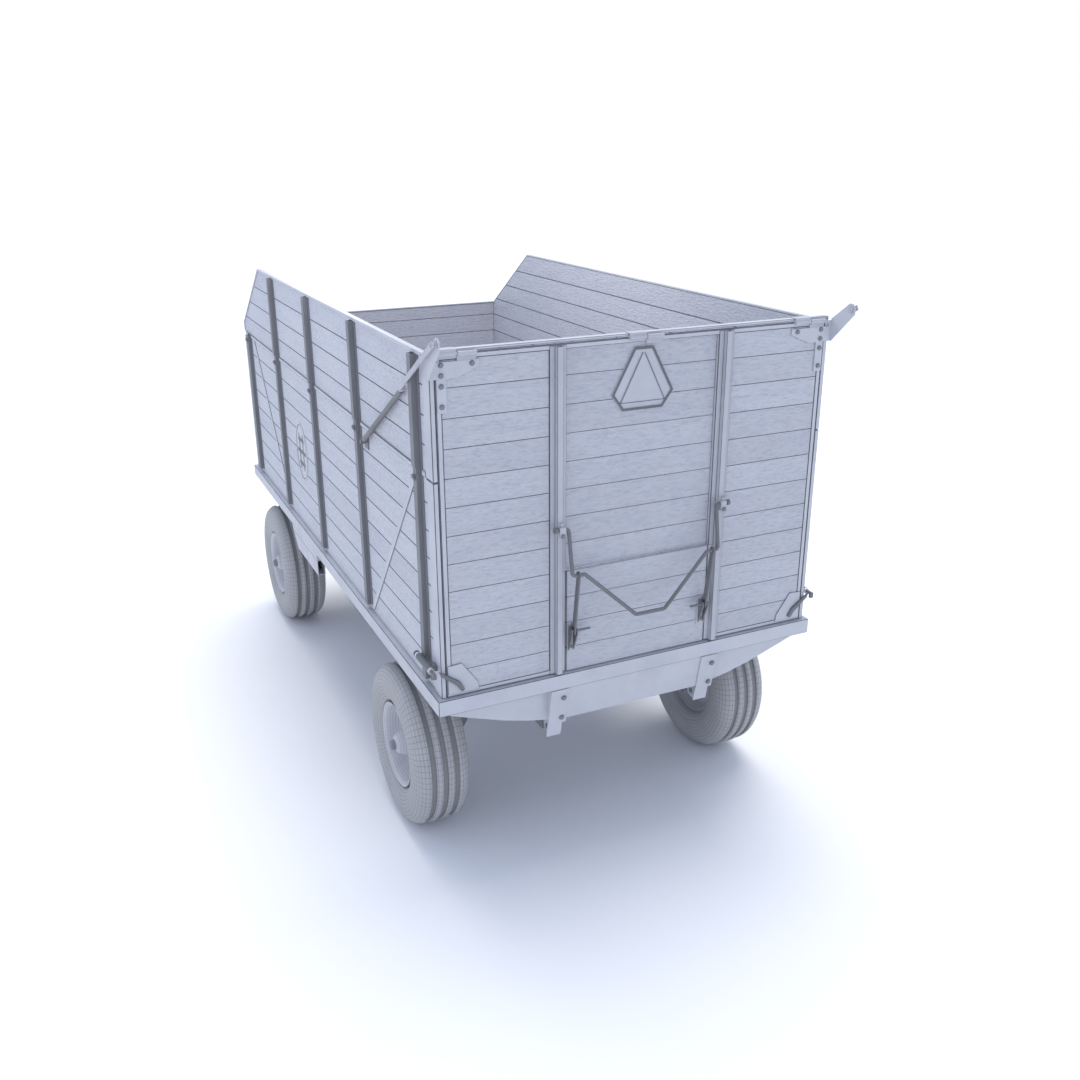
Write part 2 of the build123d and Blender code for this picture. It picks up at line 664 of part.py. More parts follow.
def slow_emblem():
    """Plain truncated triangle with a raised border."""
    half = [(53, 1640), (172, 1418), (112, 1335)]
    rear = CENTRE_BOARD_Y
    points = [(x, DECK_Z + z) for x, z in half]
    points += [(-x, DECK_Z + z) for x, z in reversed(half)]
    plate = plate_y(points, rear - 4, rear)
    border_in = [(44, 1628), (156, 1417), (104, 1347)]
    hole = [(x, DECK_Z + z) for x, z in border_in]
    hole += [(-x, DECK_Z + z) for x, z in reversed(border_in)]
    border = plate_y(points, rear - 7, rear - 4) - plate_y(hole, rear - 8, rear - 3)
    face = [(0, DECK_Z + 1612), (118, DECK_Z + 1372), (-118, DECK_Z + 1372)]
    triangle = plate_y(face, rear - 6, rear - 4)
    return fused([plate, border, triangle])


def bail_clamps():
    """Clamp blocks on the gate stakes with their bolts and end collars."""
    face = -GATE_STAKE_DEEP
    half = GATE_STAKE_CROWN / 2
    body = block(GATE_STAKE_X - half, GATE_STAKE_X + half, BAIL_Y - 17, face, BAIL_Z - 36, BAIL_Z + 30)
    body = body - rod_x(GATE_STAKE_X - 30, GATE_STAKE_X + 30, BAIL_Y, BAIL_Z, BAIL_R + RUN_FIT)
    body = body - block(GATE_STAKE_X - 30, GATE_STAKE_X + 30, BAIL_Y - 20, BAIL_Y + 3, BAIL_Z + 15, BAIL_Z + 40)
    bolts = []
    for z in (BAIL_Z + 22, BAIL_Z - 28):
        depth = BAIL_Y + 3 if z > BAIL_Z else BAIL_Y - 17
        bolts.append(rod_y(GATE_STAKE_X, depth - 8, depth, z, 8.0))
    clamp = fused([body] + bolts)
    return group([clamp, clamp.mirror(Plane.YZ)])


# ---------------------------------------------------------------- grain door


def door_boards():
    boards = []
    for index in range(DOOR_BOARDS):
        z0 = max(DECK_Z + index * BOARD_PITCH, DECK_Z + 6) + BOARD_GAP / 2
        z1 = DECK_Z + (index + 1) * BOARD_PITCH - BOARD_GAP / 2
        boards.append(block(-DOOR_HALF, DOOR_HALF, DOOR_FRONT_Y, DOOR_FRONT_Y + DOOR_THICK, z0, z1))
    return group(boards)


def door_brackets():
    """Plates with lugs and the round pins that the links pull on."""
    plate = block(362.0, 412.0, DOOR_FRONT_Y - 5, DOOR_FRONT_Y, DOOR_PIN_Z - 130, DOOR_PIN_Z + 22)
    lugs = []
    for x in (376.0, 404.0):
        lug = plate_x([(DOOR_FRONT_Y - 5, DOOR_PIN_Z + 16), (DOOR_PIN_Y - 12, DOOR_PIN_Z + 12),
                       (DOOR_PIN_Y - 12, DOOR_PIN_Z - 14), (DOOR_FRONT_Y - 5, DOOR_PIN_Z - 122)], x - 3, x + 3)
        lugs.append(lug)
    pin = rod_x(300.0, 414.0, DOOR_PIN_Y, DOOR_PIN_Z, DOOR_PIN_R)
    bolt = rod_y(390.0, DOOR_FRONT_Y - 12, DOOR_FRONT_Y - 5, DOOR_PIN_Z - 100, 9.0)
    bracket = fused([plate, pin, bolt] + lugs)
    return group([bracket, bracket.mirror(Plane.YZ)])


def bail_point(x, drop):
    """Point of the hanging bail at a distance below its pivot."""
    tilt = math.radians(BAIL_TILT)
    return (x, BAIL_Y - drop * math.sin(tilt), BAIL_Z - drop * math.cos(tilt))


def bail_rod():
    """One bent round rod: pivots, arms, short link seats, V and handle."""
    right = [
        (BAIL_END_X, 0.0),
        (BAIL_ARM_X, 0.0),
        (BAIL_EYE_OUT_X + 6, BAIL_EYE_DROP),
        (BAIL_EYE_IN_X - 6, BAIL_EYE_DROP),
        (BAIL_LOW_X, BAIL_LOW_DROP),
    ]
    points = [bail_point(x, drop) for x, drop in right]
    points += [bail_point(-x, drop) for x, drop in reversed(right)]
    path = FilletPolyline(*points, radius=BAIL_BEND)
    start = Plane(origin=points[0], z_dir=path % 0)
    body = sweep(start * Circle(BAIL_R), path=path)
    nuts = []
    for side in (-1, 1):
        x0 = side * (BAIL_END_X - 14)
        x1 = side * (BAIL_END_X + 2)
        nuts.append(rod_x(min(x0, x1), max(x0, x1), BAIL_Y, BAIL_Z, 15.0))
    return fused([body] + nuts)


def lift_link(side):
    """Flat link: round eye on the bail, lost-motion eye on the door pin."""
    seat = bail_point(LINK_X, BAIL_EYE_DROP)
    run = DOOR_PIN_Y - seat[1]
    drop = DOOR_PIN_Z - seat[2]
    long = math.hypot(run, drop)
    lean = math.degrees(math.atan2(run, -drop))
    half = LINK_WIDE / 2
    shank = Pos(0, 0, -long / 2) * Box(LINK_THICK, LINK_WIDE, long)
    head = Rot(0, 90, 0) * Cylinder(half + 4, LINK_THICK)
    z0 = -long - SLOT_DOWN - 8
    z1 = -long + SLOT_UP + 8
    foot = block(-LINK_THICK / 2, LINK_THICK / 2, -SLOT_OUT - 7, SLOT_IN + 7, z0, z1)
    slot = block(-LINK_THICK, LINK_THICK, -SLOT_OUT, SLOT_IN, -long - SLOT_DOWN, -long + SLOT_UP)
    eye = Rot(0, 90, 0) * Cylinder(BAIL_R + RUN_FIT, 4 * LINK_THICK)
    link = fused([shank, head, foot]) - slot - eye
    return Pos(side * LINK_X, seat[1], seat[2]) * Rot(lean, 0, 0) * link


# ---------------------------------------------------------------- gate stays


def stay_frame(side):
    """Frame on the stay: origin at the foot pin, z towards the wing pin."""
    run = STAY_PIN_Y - STAY_FOOT_Y
    rise = STAY_PIN_Z - STAY_FOOT_Z
    angle = math.degrees(math.atan2(-run, rise))
    return Pos(side * STAY_X, STAY_FOOT_Y, STAY_FOOT_Z) * Rot(angle, 0, 0)


def stay_length():
    return math.hypot(STAY_PIN_Y - STAY_FOOT_Y, STAY_PIN_Z - STAY_FOOT_Z)


def stay_tube(side):
    """Lower round tube of the stay, hung on its foot stud by a narrow neck and eye."""
    mouth = stay_length() - STAY_BAR_LONG - 4
    tube = Pos(0, 0, (mouth + 36) / 2) * Cylinder(STAY_TUBE_R, mouth - 36)
    neck = Pos(0, 0, 25) * Cylinder(7.5, 30)
    eye = Rot(0, 90, 0) * Cylinder(13.0, 2 * STAY_EYE_HALF)
    body = tube + neck + eye
    body = body - Pos(0, 0, (mouth + 160) / 2) * Cylinder(STAY_ROD_R + STAY_FIT, mouth - 158)
    body = body - Rot(0, 90, 0) * Cylinder(STAY_FOOT_PIN_R + RUN_FIT, 60.0)
    return stay_frame(side) * body


def stay_bar(side):
    """Upper flat bar of the stay, with the sliding rod below it and the wing pin above."""
    long = stay_length()
    mouth = long - STAY_BAR_LONG - 4
    thick = STAY_BAR_OUT_X - STAY_BAR_IN_X
    bar_mid = (STAY_BAR_IN_X + STAY_BAR_OUT_X) / 2 - STAY_X
    bar = Pos(side * bar_mid, 0, long - STAY_BAR_LONG / 2 + 16) * Box(thick, STAY_BAR_WIDE, STAY_BAR_LONG)
    step = mouth + STAY_SHORTENING + 3
    rod = Pos(0, 0, (step + mouth - 300) / 2) * Cylinder(STAY_ROD_R, step - mouth + 300)
    reach = STAY_BAR_OUT_X - STAY_X
    plate = Pos(side * (reach - 12) / 2, 0, step + 4) * Box(reach + 12, STAY_BAR_WIDE, 8)
    placed = stay_frame(side) * (bar + rod + plate)
    pieces = [placed]
    spans = (
        (WING_X - 11, STAY_BAR_OUT_X + 6, STAY_PIN_R),
        (WING_X - 7, WING_X - 1.5, 16.5),
        (WING_X + WING_THICK + 1.5, WING_X + WING_THICK + 6, 16.5),
        (WING_X + WING_THICK + 5, STAY_BAR_IN_X + 1, 9.0),
        (STAY_BAR_OUT_X - 1, STAY_BAR_OUT_X + 5, 9.5),
    )
    for near, far, radius in spans:
        x0 = min(side * near, side * far)
        x1 = max(side * near, side * far)
        pieces.append(rod_x(x0, x1, STAY_PIN_Y, STAY_PIN_Z, radius))
    return fused(pieces)


def latch_shaft(side):
    """Turning latch rod with collars, end nut and a short closing dog."""
    x = side * LATCH_X
    shaft = rod_y(x, -18.0, 250.0, LATCH_Z, LATCH_SHAFT_R)
    front_collar = rod_y(x, 216.0, 230.0, LATCH_Z, 16.0)
    nut = rod_y(x, 236.0, 250.0, LATCH_Z, 17.0)
    rear_collar = rod_y(x, 28.0, 42.0, LATCH_Z, 16.0)
    dog = block(x - 10, x + 10, -18.0, -4.0, LATCH_Z - 24, LATCH_Z)
    return fused([shaft, front_collar, nut, rear_collar, dog])


# ---------------------------------------------------------------- running gear


def chassis_rails():
    """Two rails with cross members, hinge lugs and the fixed tipping pins."""
    solids = []
    half = RAIL_WIDE / 2
    for side in (-1, 1):
        mid = side * RAIL_X
        solids.append(block(mid - half, mid + half, 152.0, 4300.0, RAIL_BOTTOM_Z, RAIL_TOP_Z - 2))
        lug = plate_x([(160, 745), (160, 836), (130, 836), (92, 822), (68, 808), (62, 790), (68, 768), (92, 758)],
                      mid - 15, mid + 15)
        solids.append(lug)
        solids.append(rod_x(mid - 34, mid + 34, TIP_Y, TIP_Z, TIP_PIN_R))
    for y in (300.0, REAR_AXLE_Y, 1800.0, 2800.0, FRONT_AXLE_Y, 4260.0):
        solids.append(block(-RAIL_X, RAIL_X, y - 40, y + 40, RAIL_BOTTOM_Z + 10, RAIL_TOP_Z - 12))
    return fused(solids)


def axle_stands(y, foot_z):
    """Upright boxes and side braces between an axle beam and the rails."""
    solids = []
    low = min(foot_z + 40, RAIL_BOTTOM_Z - 30)
    for side in (-1, 1):
        mid = side * RAIL_X
        solids.append(block(mid - 30, mid + 30, y - 44, y + 44, foot_z - 5, RAIL_BOTTOM_Z))
        foot = plate_x([(y + 43, low), (y + 43, RAIL_BOTTOM_Z), (y + 150, RAIL_BOTTOM_Z)], mid - 5, mid + 5)
        rear = plate_x([(y - 43, low), (y - 150, RAIL_BOTTOM_Z), (y - 43, RAIL_BOTTOM_Z)], mid - 5, mid + 5)
        solids.extend([foot, rear])
    return solids


def rear_axle():
    """Raised cross beam with a leg and a spindle at each end, and stands up to the rails."""
    half = AXLE_BEAM / 2
    solids = [block(-800.0, 800.0, REAR_AXLE_Y - half, REAR_AXLE_Y + half, ARCH_LOW_Z, ARCH_TOP_Z)]
    solids.extend(axle_stands(REAR_AXLE_Y, ARCH_TOP_Z))
    for side in (-1, 1):
        x0 = min(side * 752.0, side * 800.0)
        x1 = max(side * 752.0, side * 800.0)
        solids.append(block(x0, x1, REAR_AXLE_Y - 40, REAR_AXLE_Y + 40, 426.0, ARCH_LOW_Z + 5))
        knee = [(side * 753, ARCH_LOW_Z + 5), (side * 753, 426), (side * 738, 426), (side * 680, 515),
                (side * 640, ARCH_LOW_Z + 5)]
        solids.append(plate_y(knee, REAR_AXLE_Y - 8, REAR_AXLE_Y + 8))
        near = side * 795.0
        far = side * (WHEEL_X + 74)
        solids.append(rod_x(min(near, far), max(near, far), REAR_AXLE_Y, WHEEL_R, SPINDLE_R))
    return fused(solids)


def front_axle():
    """Beam with a fork at each end round the steering barrels."""
    half = AXLE_BEAM / 2
    solids = [block(-712.0, 712.0, FRONT_AXLE_Y - half, FRONT_AXLE_Y + half, 420.0, 520.0)]
    solids.extend(axle_stands(FRONT_AXLE_Y, 520.0))
    for side in (-1, 1):
        x0 = min(side * 600.0, side * 802.0)
        x1 = max(side * 600.0, side * 802.0)
        solids.append(block(x0, x1, FRONT_AXLE_Y - 42, FRONT_AXLE_Y + 42, 520.0, 536.0))
        solids.append(block(x0, x1, FRONT_AXLE_Y - 42, FRONT_AXLE_Y + 42, 404.0, 420.0))
        solids.append(rod_z(side * KING_X, FRONT_AXLE_Y, 400.0, 544.0, KING_R))
    solids.append(rod_z(0, FRONT_AXLE_Y, 372.0, 425.0, STEER_PIN_R))
    solids.append(rod_z(0, FRONT_AXLE_Y, 372.0, 384.0, 38.0))
    return fused(solids)


def knuckle(side, arm_low):
    """Steering barrel with wheel spindle and forward steering arm."""
    x = side * KING_X
    barrel = rod_z(x, FRONT_AXLE_Y, KING_BARREL_LOW, KING_BARREL_TOP, KING_BARREL_R)
    x0 = side * (KING_X + 20)
    x1 = side * (WHEEL_X + 74)
    spindle = rod_x(min(x0, x1), max(x0, x1), FRONT_AXLE_Y, WHEEL_R, SPINDLE_R)
    y1 = FRONT_AXLE_Y + STEER_ARM
    arm = block(x - 19, x + 19, FRONT_AXLE_Y + 20, y1, arm_low, arm_low + 15)
    arm_end = rod_z(x, y1, arm_low, arm_low + 15, 22.0)
    body = fused([barrel, spindle, arm, arm_end])
    body = body - rod_z(x, FRONT_AXLE_Y, 410.0, 530.0, KING_R + RUN_FIT)
    rod_z_mid = LEFT_ROD_Z if side < 0 else RIGHT_ROD_Z
    pin = rod_z(x, y1, min(arm_low, rod_z_mid - 12), max(arm_low + 15, rod_z_mid + 12), ROD_PIN_R)
    return body + pin


def knuckle_left():
    return knuckle(-1, LEFT_ROD_Z + 12)


def knuckle_right():
    return knuckle(1, RIGHT_ROD_Z - 27)


def tie_rod(side, z):
    """Cross rod between a steering arm and the centre steering pin."""
    y = FRONT_AXLE_Y + STEER_ARM
    x_end = side * KING_X
    eyes = []
    for x in (0.0, x_end):
        eyes.append(rod_z(x, y, z - 9, z + 9, ROD_EYE_R))
    x0 = min(0.0, x_end)
    x1 = max(0.0, x_end)
    shaft = rod_x(x0, x1, y, z, 8.5)
    body = fused(eyes + [shaft])
    for x in (0.0, x_end):
        body = body - rod_z(x, y, z - 20, z + 20, ROD_PIN_R + RUN_FIT)
    return body


def steer_plate():
    """Centre plate with the tie-rod pin, drawbar cheeks and the stop the drawbar rests on."""
    z0 = STEER_PLATE_Z
    z1 = STEER_PLATE_Z + STEER_PLATE_THICK
    plate = block(-62, 62, FRONT_AXLE_Y, FRONT_AXLE_Y + 270, z0, z1)
    plate = plate + rod_z(0, FRONT_AXLE_Y, z0, z1, 62.0)
    plate = plate - rod_z(0, FRONT_AXLE_Y, z0 - 5, z1 + 5, STEER_PIN_R + RUN_FIT)
    pin = rod_z(0, FRONT_AXLE_Y + STEER_ARM, z0, RIGHT_ROD_Z + 12, ROD_PIN_R)
    cheeks = []
    hinge_y = FRONT_AXLE_Y + DRAWBAR_HINGE
    for side in (-1, 1):
        x0 = min(side * 47, side * 61)
        x1 = max(side * 47, side * 61)
        cheek = block(x0, x1, FRONT_AXLE_Y + 252, hinge_y + 30, z0, DRAWBAR_Z + 34)
        cheeks.append(cheek)
    stop = block(-61, 61, hinge_y + 14, hinge_y + 30, z0, DRAWBAR_Z - 30.4)
    body = fused([plate, pin] + cheeks + [stop])
    return body + rod_x(-70, 70, hinge_y, DRAWBAR_Z, DRAWBAR_PIN_R)


def drawbar():
    """Tongue tube that lifts about the cross pin of the steering plate."""
    hinge_y = FRONT_AXLE_Y + DRAWBAR_HINGE
    tube = block(-40, 40, hinge_y, DRAWBAR_END_Y, DRAWBAR_Z - 30, DRAWBAR_Z + 30)
    tube = tube + rod_x(-40, 40, hinge_y, DRAWBAR_Z, 30.0)
    tube = tube - rod_x(-50, 50, hinge_y, DRAWBAR_Z, DRAWBAR_PIN_R + RUN_FIT)
    hollow = block(-34, 34, hinge_y + 60, DRAWBAR_END_Y + 1, DRAWBAR_Z - 24, DRAWBAR_Z + 24)
    braces = []
    for side in (-1, 1):
        brace = plate_x([(hinge_y + 60, DRAWBAR_Z - 30), (hinge_y + 700, DRAWBAR_Z - 30),
                         (hinge_y + 500, DRAWBAR_Z - 60), (hinge_y + 140, DRAWBAR_Z - 60)],
                        min(side * 30, side * 36), max(side * 30, side * 36))
        braces.append(brace)
    return fused([tube - hollow] + braces)


def hitch_clevis():
    """Clevis casting at the tongue's front with a vertical pin hole."""
    shank = block(-33.9, 33.9, DRAWBAR_END_Y - 160, DRAWBAR_END_Y + 10, DRAWBAR_Z - 23.9, DRAWBAR_Z + 23.9)
    ears = []
    for z in (DRAWBAR_Z - 36, DRAWBAR_Z + 18):
        ear = block(-38, 38, DRAWBAR_END_Y + 0.5, HITCH_PIN_Y + 34, z, z + 18)
        ears.append(ear + rod_z(0, HITCH_FRONT_Y - 38, z, z + 18, 38.0))
    back = block(-38, 38, DRAWBAR_END_Y + 0.5, DRAWBAR_END_Y + 20, DRAWBAR_Z - 36, DRAWBAR_Z + 36)
    body = fused([shank, back] + ears)
    return body - rod_z(0, HITCH_PIN_Y, DRAWBAR_Z - 60, DRAWBAR_Z + 60, HITCH_HOLE_R)


# ---------------------------------------------------------------- wheels


def tyre():
    """Hollow tyre section turned about X, with three tread grooves."""
    bead_r = RIM_R + 3.0
    bead_out = 103.5
    bead_in = 88.0
    half = [
        (bead_out, 248.0),
        (132.0, 262.0),
        (151.0, 300.0),
        (TYRE_HALF_WIDE, 350.0),
        (154.0, 405.0),
        (137.0, 441.0),
        (113.0, 460.0),
        (60.0, 468.5),
        (0.0, WHEEL_R),
    ]
    outer_pts = half + [(-x, r) for x, r in reversed(half[:-1])]
    inner_half = [(0.0, 446.0), (60.0, 445.0), (100.0, 438.0), (122.0, 422.0), (138.0, 392.0), (143.0, 350.0),
                  (134.0, 303.0), (114.0, 268.0), (94.0, 252.0), (bead_in, bead_r)]
    inner_pts = [(-x, r) for x, r in reversed(inner_half[1:])] + inner_half
    outer = Polyline(*[(x, r, 0) for x, r in outer_pts])
    inner = Polyline(*[(x, r, 0) for x, r in inner_pts])
    left = Polyline((-bead_out, 248.0, 0), (-bead_out, bead_r, 0), (-bead_in, bead_r, 0))
    right = Polyline((bead_in, bead_r, 0), (bead_out, bead_r, 0), (bead_out, 248.0, 0))
    face = make_face(Curve() + [outer, left, inner, right])
    body = revolve(face, axis=Axis.X)
    for x in (-GROOVE_STEP, 0.0, GROOVE_STEP):
        ring = Rot(0, 90, 0) * (Cylinder(WHEEL_R + 10, GROOVE_WIDE) - Cylinder(WHEEL_R - GROOVE_DEEP, GROOVE_WIDE))
        body = body - Pos(x, 0, 0) * ring
    return body


def wheel_rim(side):
    """Drop-centre rim, dished disc and cone-nosed hub with its spindle bore."""
    profile = [
        (-118, 246),
        (-112, 246),
        (-104, 231.5),
        (-60, 231.5),
        (-48, 205),
        (52, 205),
        (64, 231.5),
        (104, 231.5),
        (112, 246),
        (118, 246),
        (118, 240),
        (107, 225),
        (69, 225),
        (57, 198.5),
        (-53, 198.5),
        (-65, 225),
        (-107, 225),
        (-118, 240),
    ]
    rim = revolve(make_face(Polyline(*[(x, r, 0) for x, r in profile], close=True)), axis=Axis.X)
    dish = [(-10, 199), (-2, 199), (24, 160), (34, 112), (34, 50), (26, 50), (26, 110), (16, 156), (-10, 190)]
    disc = revolve(make_face(Polyline(*[(x, r, 0) for x, r in dish], close=True)), axis=Axis.X)
    nose = [(-70, 28.05), (-70, 64), (30, 78), (62, 76), (108, 58), (118, 50), (122, 34), (148, 30),
            (154, 20), (154, 0), (78, 0), (78, 28.05)]
    hub = revolve(make_face(Polyline(*[(x, r, 0) for x, r in nose], close=True)), axis=Axis.X)
    wheel = fused([rim, disc, hub])
    if side < 0:
        wheel = wheel.mirror(Plane.YZ)
    return wheel


def place_wheel(shape, side, y):
    return Pos(side * WHEEL_X, y, WHEEL_R) * shape


# ---------------------------------------------------------------- output

NODES = {
    "chassis_rails": chassis_rails,
    "rear_axle": rear_axle,
    "front_axle": front_axle,
    "floor_planks": floor_planks,
    "bed_sills": bed_sills,
    "floor_frame": floor_frame,
    "rear_beam": rear_beam,
    "rear_brackets": rear_brackets,
    "wheel_guards": wheel_guards,
    "side_boards_left": lambda: side_boards(-1),
    "side_boards_right": lambda: side_boards(1),
    "extension_left": lambda: extension_boards(-1),
    "extension_right": lambda: extension_boards(1),
    "front_boards": front_boards,
    "stakes_left": lambda: side_stakes(-1),
    "stakes_right": lambda: side_stakes(1),
    "front_stakes": front_stakes,
    "corner_posts": corner_posts,
    "seam_rails": seam_rails,
    "top_rails": top_rails,
    "side_braces": side_braces,
    "header_bar": header_bar,
    "box_hinges": box_hinges,
    "side_fittings": side_fittings,
    "side_badge": side_badge,
    "gate_frame": gate_frame,
    "gate_boards": gate_boards,
    "gate_stakes": gate_stakes,
    "gate_hinges": gate_hinges,
    "corner_gussets": corner_gussets,
    "striker_bars": striker_bars,
    "slow_emblem": slow_emblem,
    "bail_clamps": bail_clamps,
    "door_boards": door_boards,
    "door_brackets": door_brackets,
    "bail_rod": bail_rod,
    "link_left": lambda: lift_link(-1),
    "link_right": lambda: lift_link(1),
    "stay_tube_left": lambda: stay_tube(-1),
    "stay_tube_right": lambda: stay_tube(1),
    "stay_bar_left": lambda: stay_bar(-1),
    "stay_bar_right": lambda: stay_bar(1),
    "latch_shaft_left": lambda: latch_shaft(-1),
    "latch_shaft_right": lambda: latch_shaft(1),
    "knuckle_left": knuckle_left,
    "knuckle_right": knuckle_right,
    "tie_rod_left": lambda: tie_rod(-1, LEFT_ROD_Z),
    "tie_rod_right": lambda: tie_rod(1, RIGHT_ROD_Z),
    "steer_plate": steer_plate,
    "drawbar": drawbar,
    "hitch_clevis": hitch_clevis,
}

WHEELS = {
    "rear_left": (-1, REAR_AXLE_Y),
    "rear_right": (1, REAR_AXLE_Y),
    "front_left": (-1, FRONT_AXLE_Y),
    "front_right": (1, FRONT_AXLE_Y),
}


def save(name, shape):
    moved = Pos(0, Y_SHIFT, 0) * shape
    export_step(moved, f"parts/{name}.step")


def main():
    os.makedirs("parts", exist_ok=True)
    for name, maker in NODES.items():
        save(name, maker())
    tyre_shape = tyre()
    for corner, (side, y) in WHEELS.items():
        save(f"tyre_{corner}", place_wheel(tyre_shape, side, y))
        save(f"rim_{corner}", place_wheel(wheel_rim(side), side, y))


main()
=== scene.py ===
import math
import random

import bmesh
import bpy
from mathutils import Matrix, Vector


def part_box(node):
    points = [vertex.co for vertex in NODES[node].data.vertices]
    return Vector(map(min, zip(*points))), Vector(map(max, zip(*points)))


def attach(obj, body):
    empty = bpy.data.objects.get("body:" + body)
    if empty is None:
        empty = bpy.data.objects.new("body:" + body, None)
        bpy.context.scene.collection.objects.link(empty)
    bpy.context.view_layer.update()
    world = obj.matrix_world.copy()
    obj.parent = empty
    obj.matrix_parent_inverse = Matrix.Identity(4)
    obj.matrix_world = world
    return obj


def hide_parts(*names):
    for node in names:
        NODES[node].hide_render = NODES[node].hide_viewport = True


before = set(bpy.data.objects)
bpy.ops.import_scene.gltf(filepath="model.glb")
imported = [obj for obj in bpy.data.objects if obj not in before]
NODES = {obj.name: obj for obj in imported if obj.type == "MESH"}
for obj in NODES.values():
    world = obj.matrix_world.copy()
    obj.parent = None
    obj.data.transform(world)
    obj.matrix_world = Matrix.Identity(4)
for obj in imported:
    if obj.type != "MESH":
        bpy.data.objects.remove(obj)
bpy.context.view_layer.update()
rng = random.Random(7)

# ------------------------------------------------------------------ places

GATE_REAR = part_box("gate_frame")[0].y
DECK_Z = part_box("bed_sills")[1].z
SEAM_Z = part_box("seam_rails")[1].z
WHEELS = ("rear_left", "rear_right", "front_left", "front_right")


def local(x, y, z):
    """Point of the frame, with y counted from the tailgate's rear face and z from the ground."""
    return Vector((x, GATE_REAR + y, z))


# ------------------------------------------------------------------ materials


class Build:
    """Small helper that lays out a node tree."""

    def __init__(self, name):
        self.mat = bpy.data.materials.new(name)
        self.mat.use_nodes = True
        self.tree = self.mat.node_tree
        self.tree.nodes.clear()
        self.out = self.add("ShaderNodeOutputMaterial")
        self.bsdf = self.add("ShaderNodeBsdfPrincipled")
        self.link(self.bsdf, "BSDF", self.out, "Surface")

    def add(self, kind, **values):
        node = self.tree.nodes.new(kind)
        for key, value in values.items():
            if key in node.inputs:
                node.inputs[key].default_value = value
            else:
                setattr(node, key, value)
        return node

    def link(self, a, a_socket, b, b_socket):
        self.tree.links.new(a.outputs[a_socket], b.inputs[b_socket])

    def coords(self, scale=(1, 1, 1)):
        tex = self.add("ShaderNodeTexCoord")
        mapping = self.add("ShaderNodeMapping")
        mapping.inputs["Scale"].default_value = scale
        self.link(tex, "Object", mapping, "Vector")
        return mapping

    def noise(self, mapping, scale, detail=4.0, rough=0.55):
        node = self.add("ShaderNodeTexNoise")
        node.inputs["Scale"].default_value = scale
        node.inputs["Detail"].default_value = detail
        node.inputs["Roughness"].default_value = rough
        self.link(mapping, "Vector", node, "Vector")
        return node

    def ramp(self, source, socket, stops):
        node = self.add("ShaderNodeValToRGB")
        ramp = node.color_ramp
        while len(ramp.elements) < len(stops):
            ramp.elements.new(0.5)
        for element, (place, colour) in zip(ramp.elements, stops):
            element.position = place
            element.color = (*colour, 1.0)
        self.link(source, socket, node, "Fac")
        return node

    def mix(self, kind, a, b, factor):
        node = self.add("ShaderNodeMix")
        node.data_type = "RGBA"
        node.blend_type = kind
        node.inputs[0].default_value = factor
        self.tree.links.new(a, node.inputs[6])
        self.tree.links.new(b, node.inputs[7])
        return node

    def bump(self, height, strength, distance, normal=None):
        node = self.add("ShaderNodeBump")
        node.inputs["Strength"].default_value = strength
        node.inputs["Distance"].default_value = distance
        self.tree.links.new(height, node.inputs["Height"])
        if normal is not None:
            self.tree.links.new(normal, node.inputs["Normal"])
        return node


PAINT_TINT = (0.98, 0.995, 1.065)
NO_TINT = (1.0, 1.0, 1.0)
TYRE_SPOKES, TYRE_RINGS = 84, 46
RIM_SPOKES, RIM_RINGS = 84, 60
SPOKE_LINE, RING_LINE = 0.09, 0.12  # width of a line over the spacing of its kind


def grey(level, tint=PAINT_TINT):
    return tuple(min(1.0, level * t) for t in tint)


def painted_boards(name, level, stretch):
    """Painted sawn boards: fine grain in relief, tone changing from board to board."""
    b = Build(name)
    grain_map = b.coords(stretch)
    long_map = b.coords(tuple(0.4 * v if v < 1 else v for v in stretch))
    grain = b.noise(grain_map, 82.0, 4.0, 0.6)
    streaks = b.noise(long_map, 30.0, 4.0, 0.55)
    broad = b.noise(b.coords(), 1.5, 3.0, 0.5)
    geo = b.add("ShaderNodeNewGeometry")
    board = b.ramp(geo, "Random Per Island", [(0.0, grey(level * 0.965)), (1.0, grey(level * 1.03))])
    fine = b.ramp(grain, "Fac", [(0.32, (0.80, 0.81, 0.85)), (0.50, (0.97, 0.97, 0.98)), (0.68, (1, 1, 1))])
    streak = b.ramp(streaks, "Fac", [(0.30, (0.90, 0.90, 0.92)), (0.55, (1, 1, 1))])
    cloud = b.ramp(broad, "Fac", [(0.25, (0.95, 0.95, 0.955)), (0.75, (1.0, 1.0, 1.0))])
    first = b.mix("MULTIPLY", board.outputs["Color"], fine.outputs["Color"], 0.75)
    second = b.mix("MULTIPLY", first.outputs[2], streak.outputs["Color"], 0.6)
    third = b.mix("MULTIPLY", second.outputs[2], cloud.outputs["Color"], 0.9)
    b.tree.links.new(third.outputs[2], b.bsdf.inputs["Base Color"])
    rough = b.ramp(grain, "Fac", [(0.3, (0.75, 0.75, 0.75)), (0.7, (0.55, 0.55, 0.55))])
    b.link(rough, "Color", b.bsdf, "Roughness")
    coarse = b.bump(streaks.outputs["Fac"], 0.35, 0.0020)
    relief = b.bump(grain.outputs["Fac"], 1.0, 0.0075, coarse.outputs["Normal"])
    b.link(relief, "Normal", b.bsdf, "Normal")
    b.bsdf.inputs["Specular IOR Level"].default_value = 0.3
    return b.mat


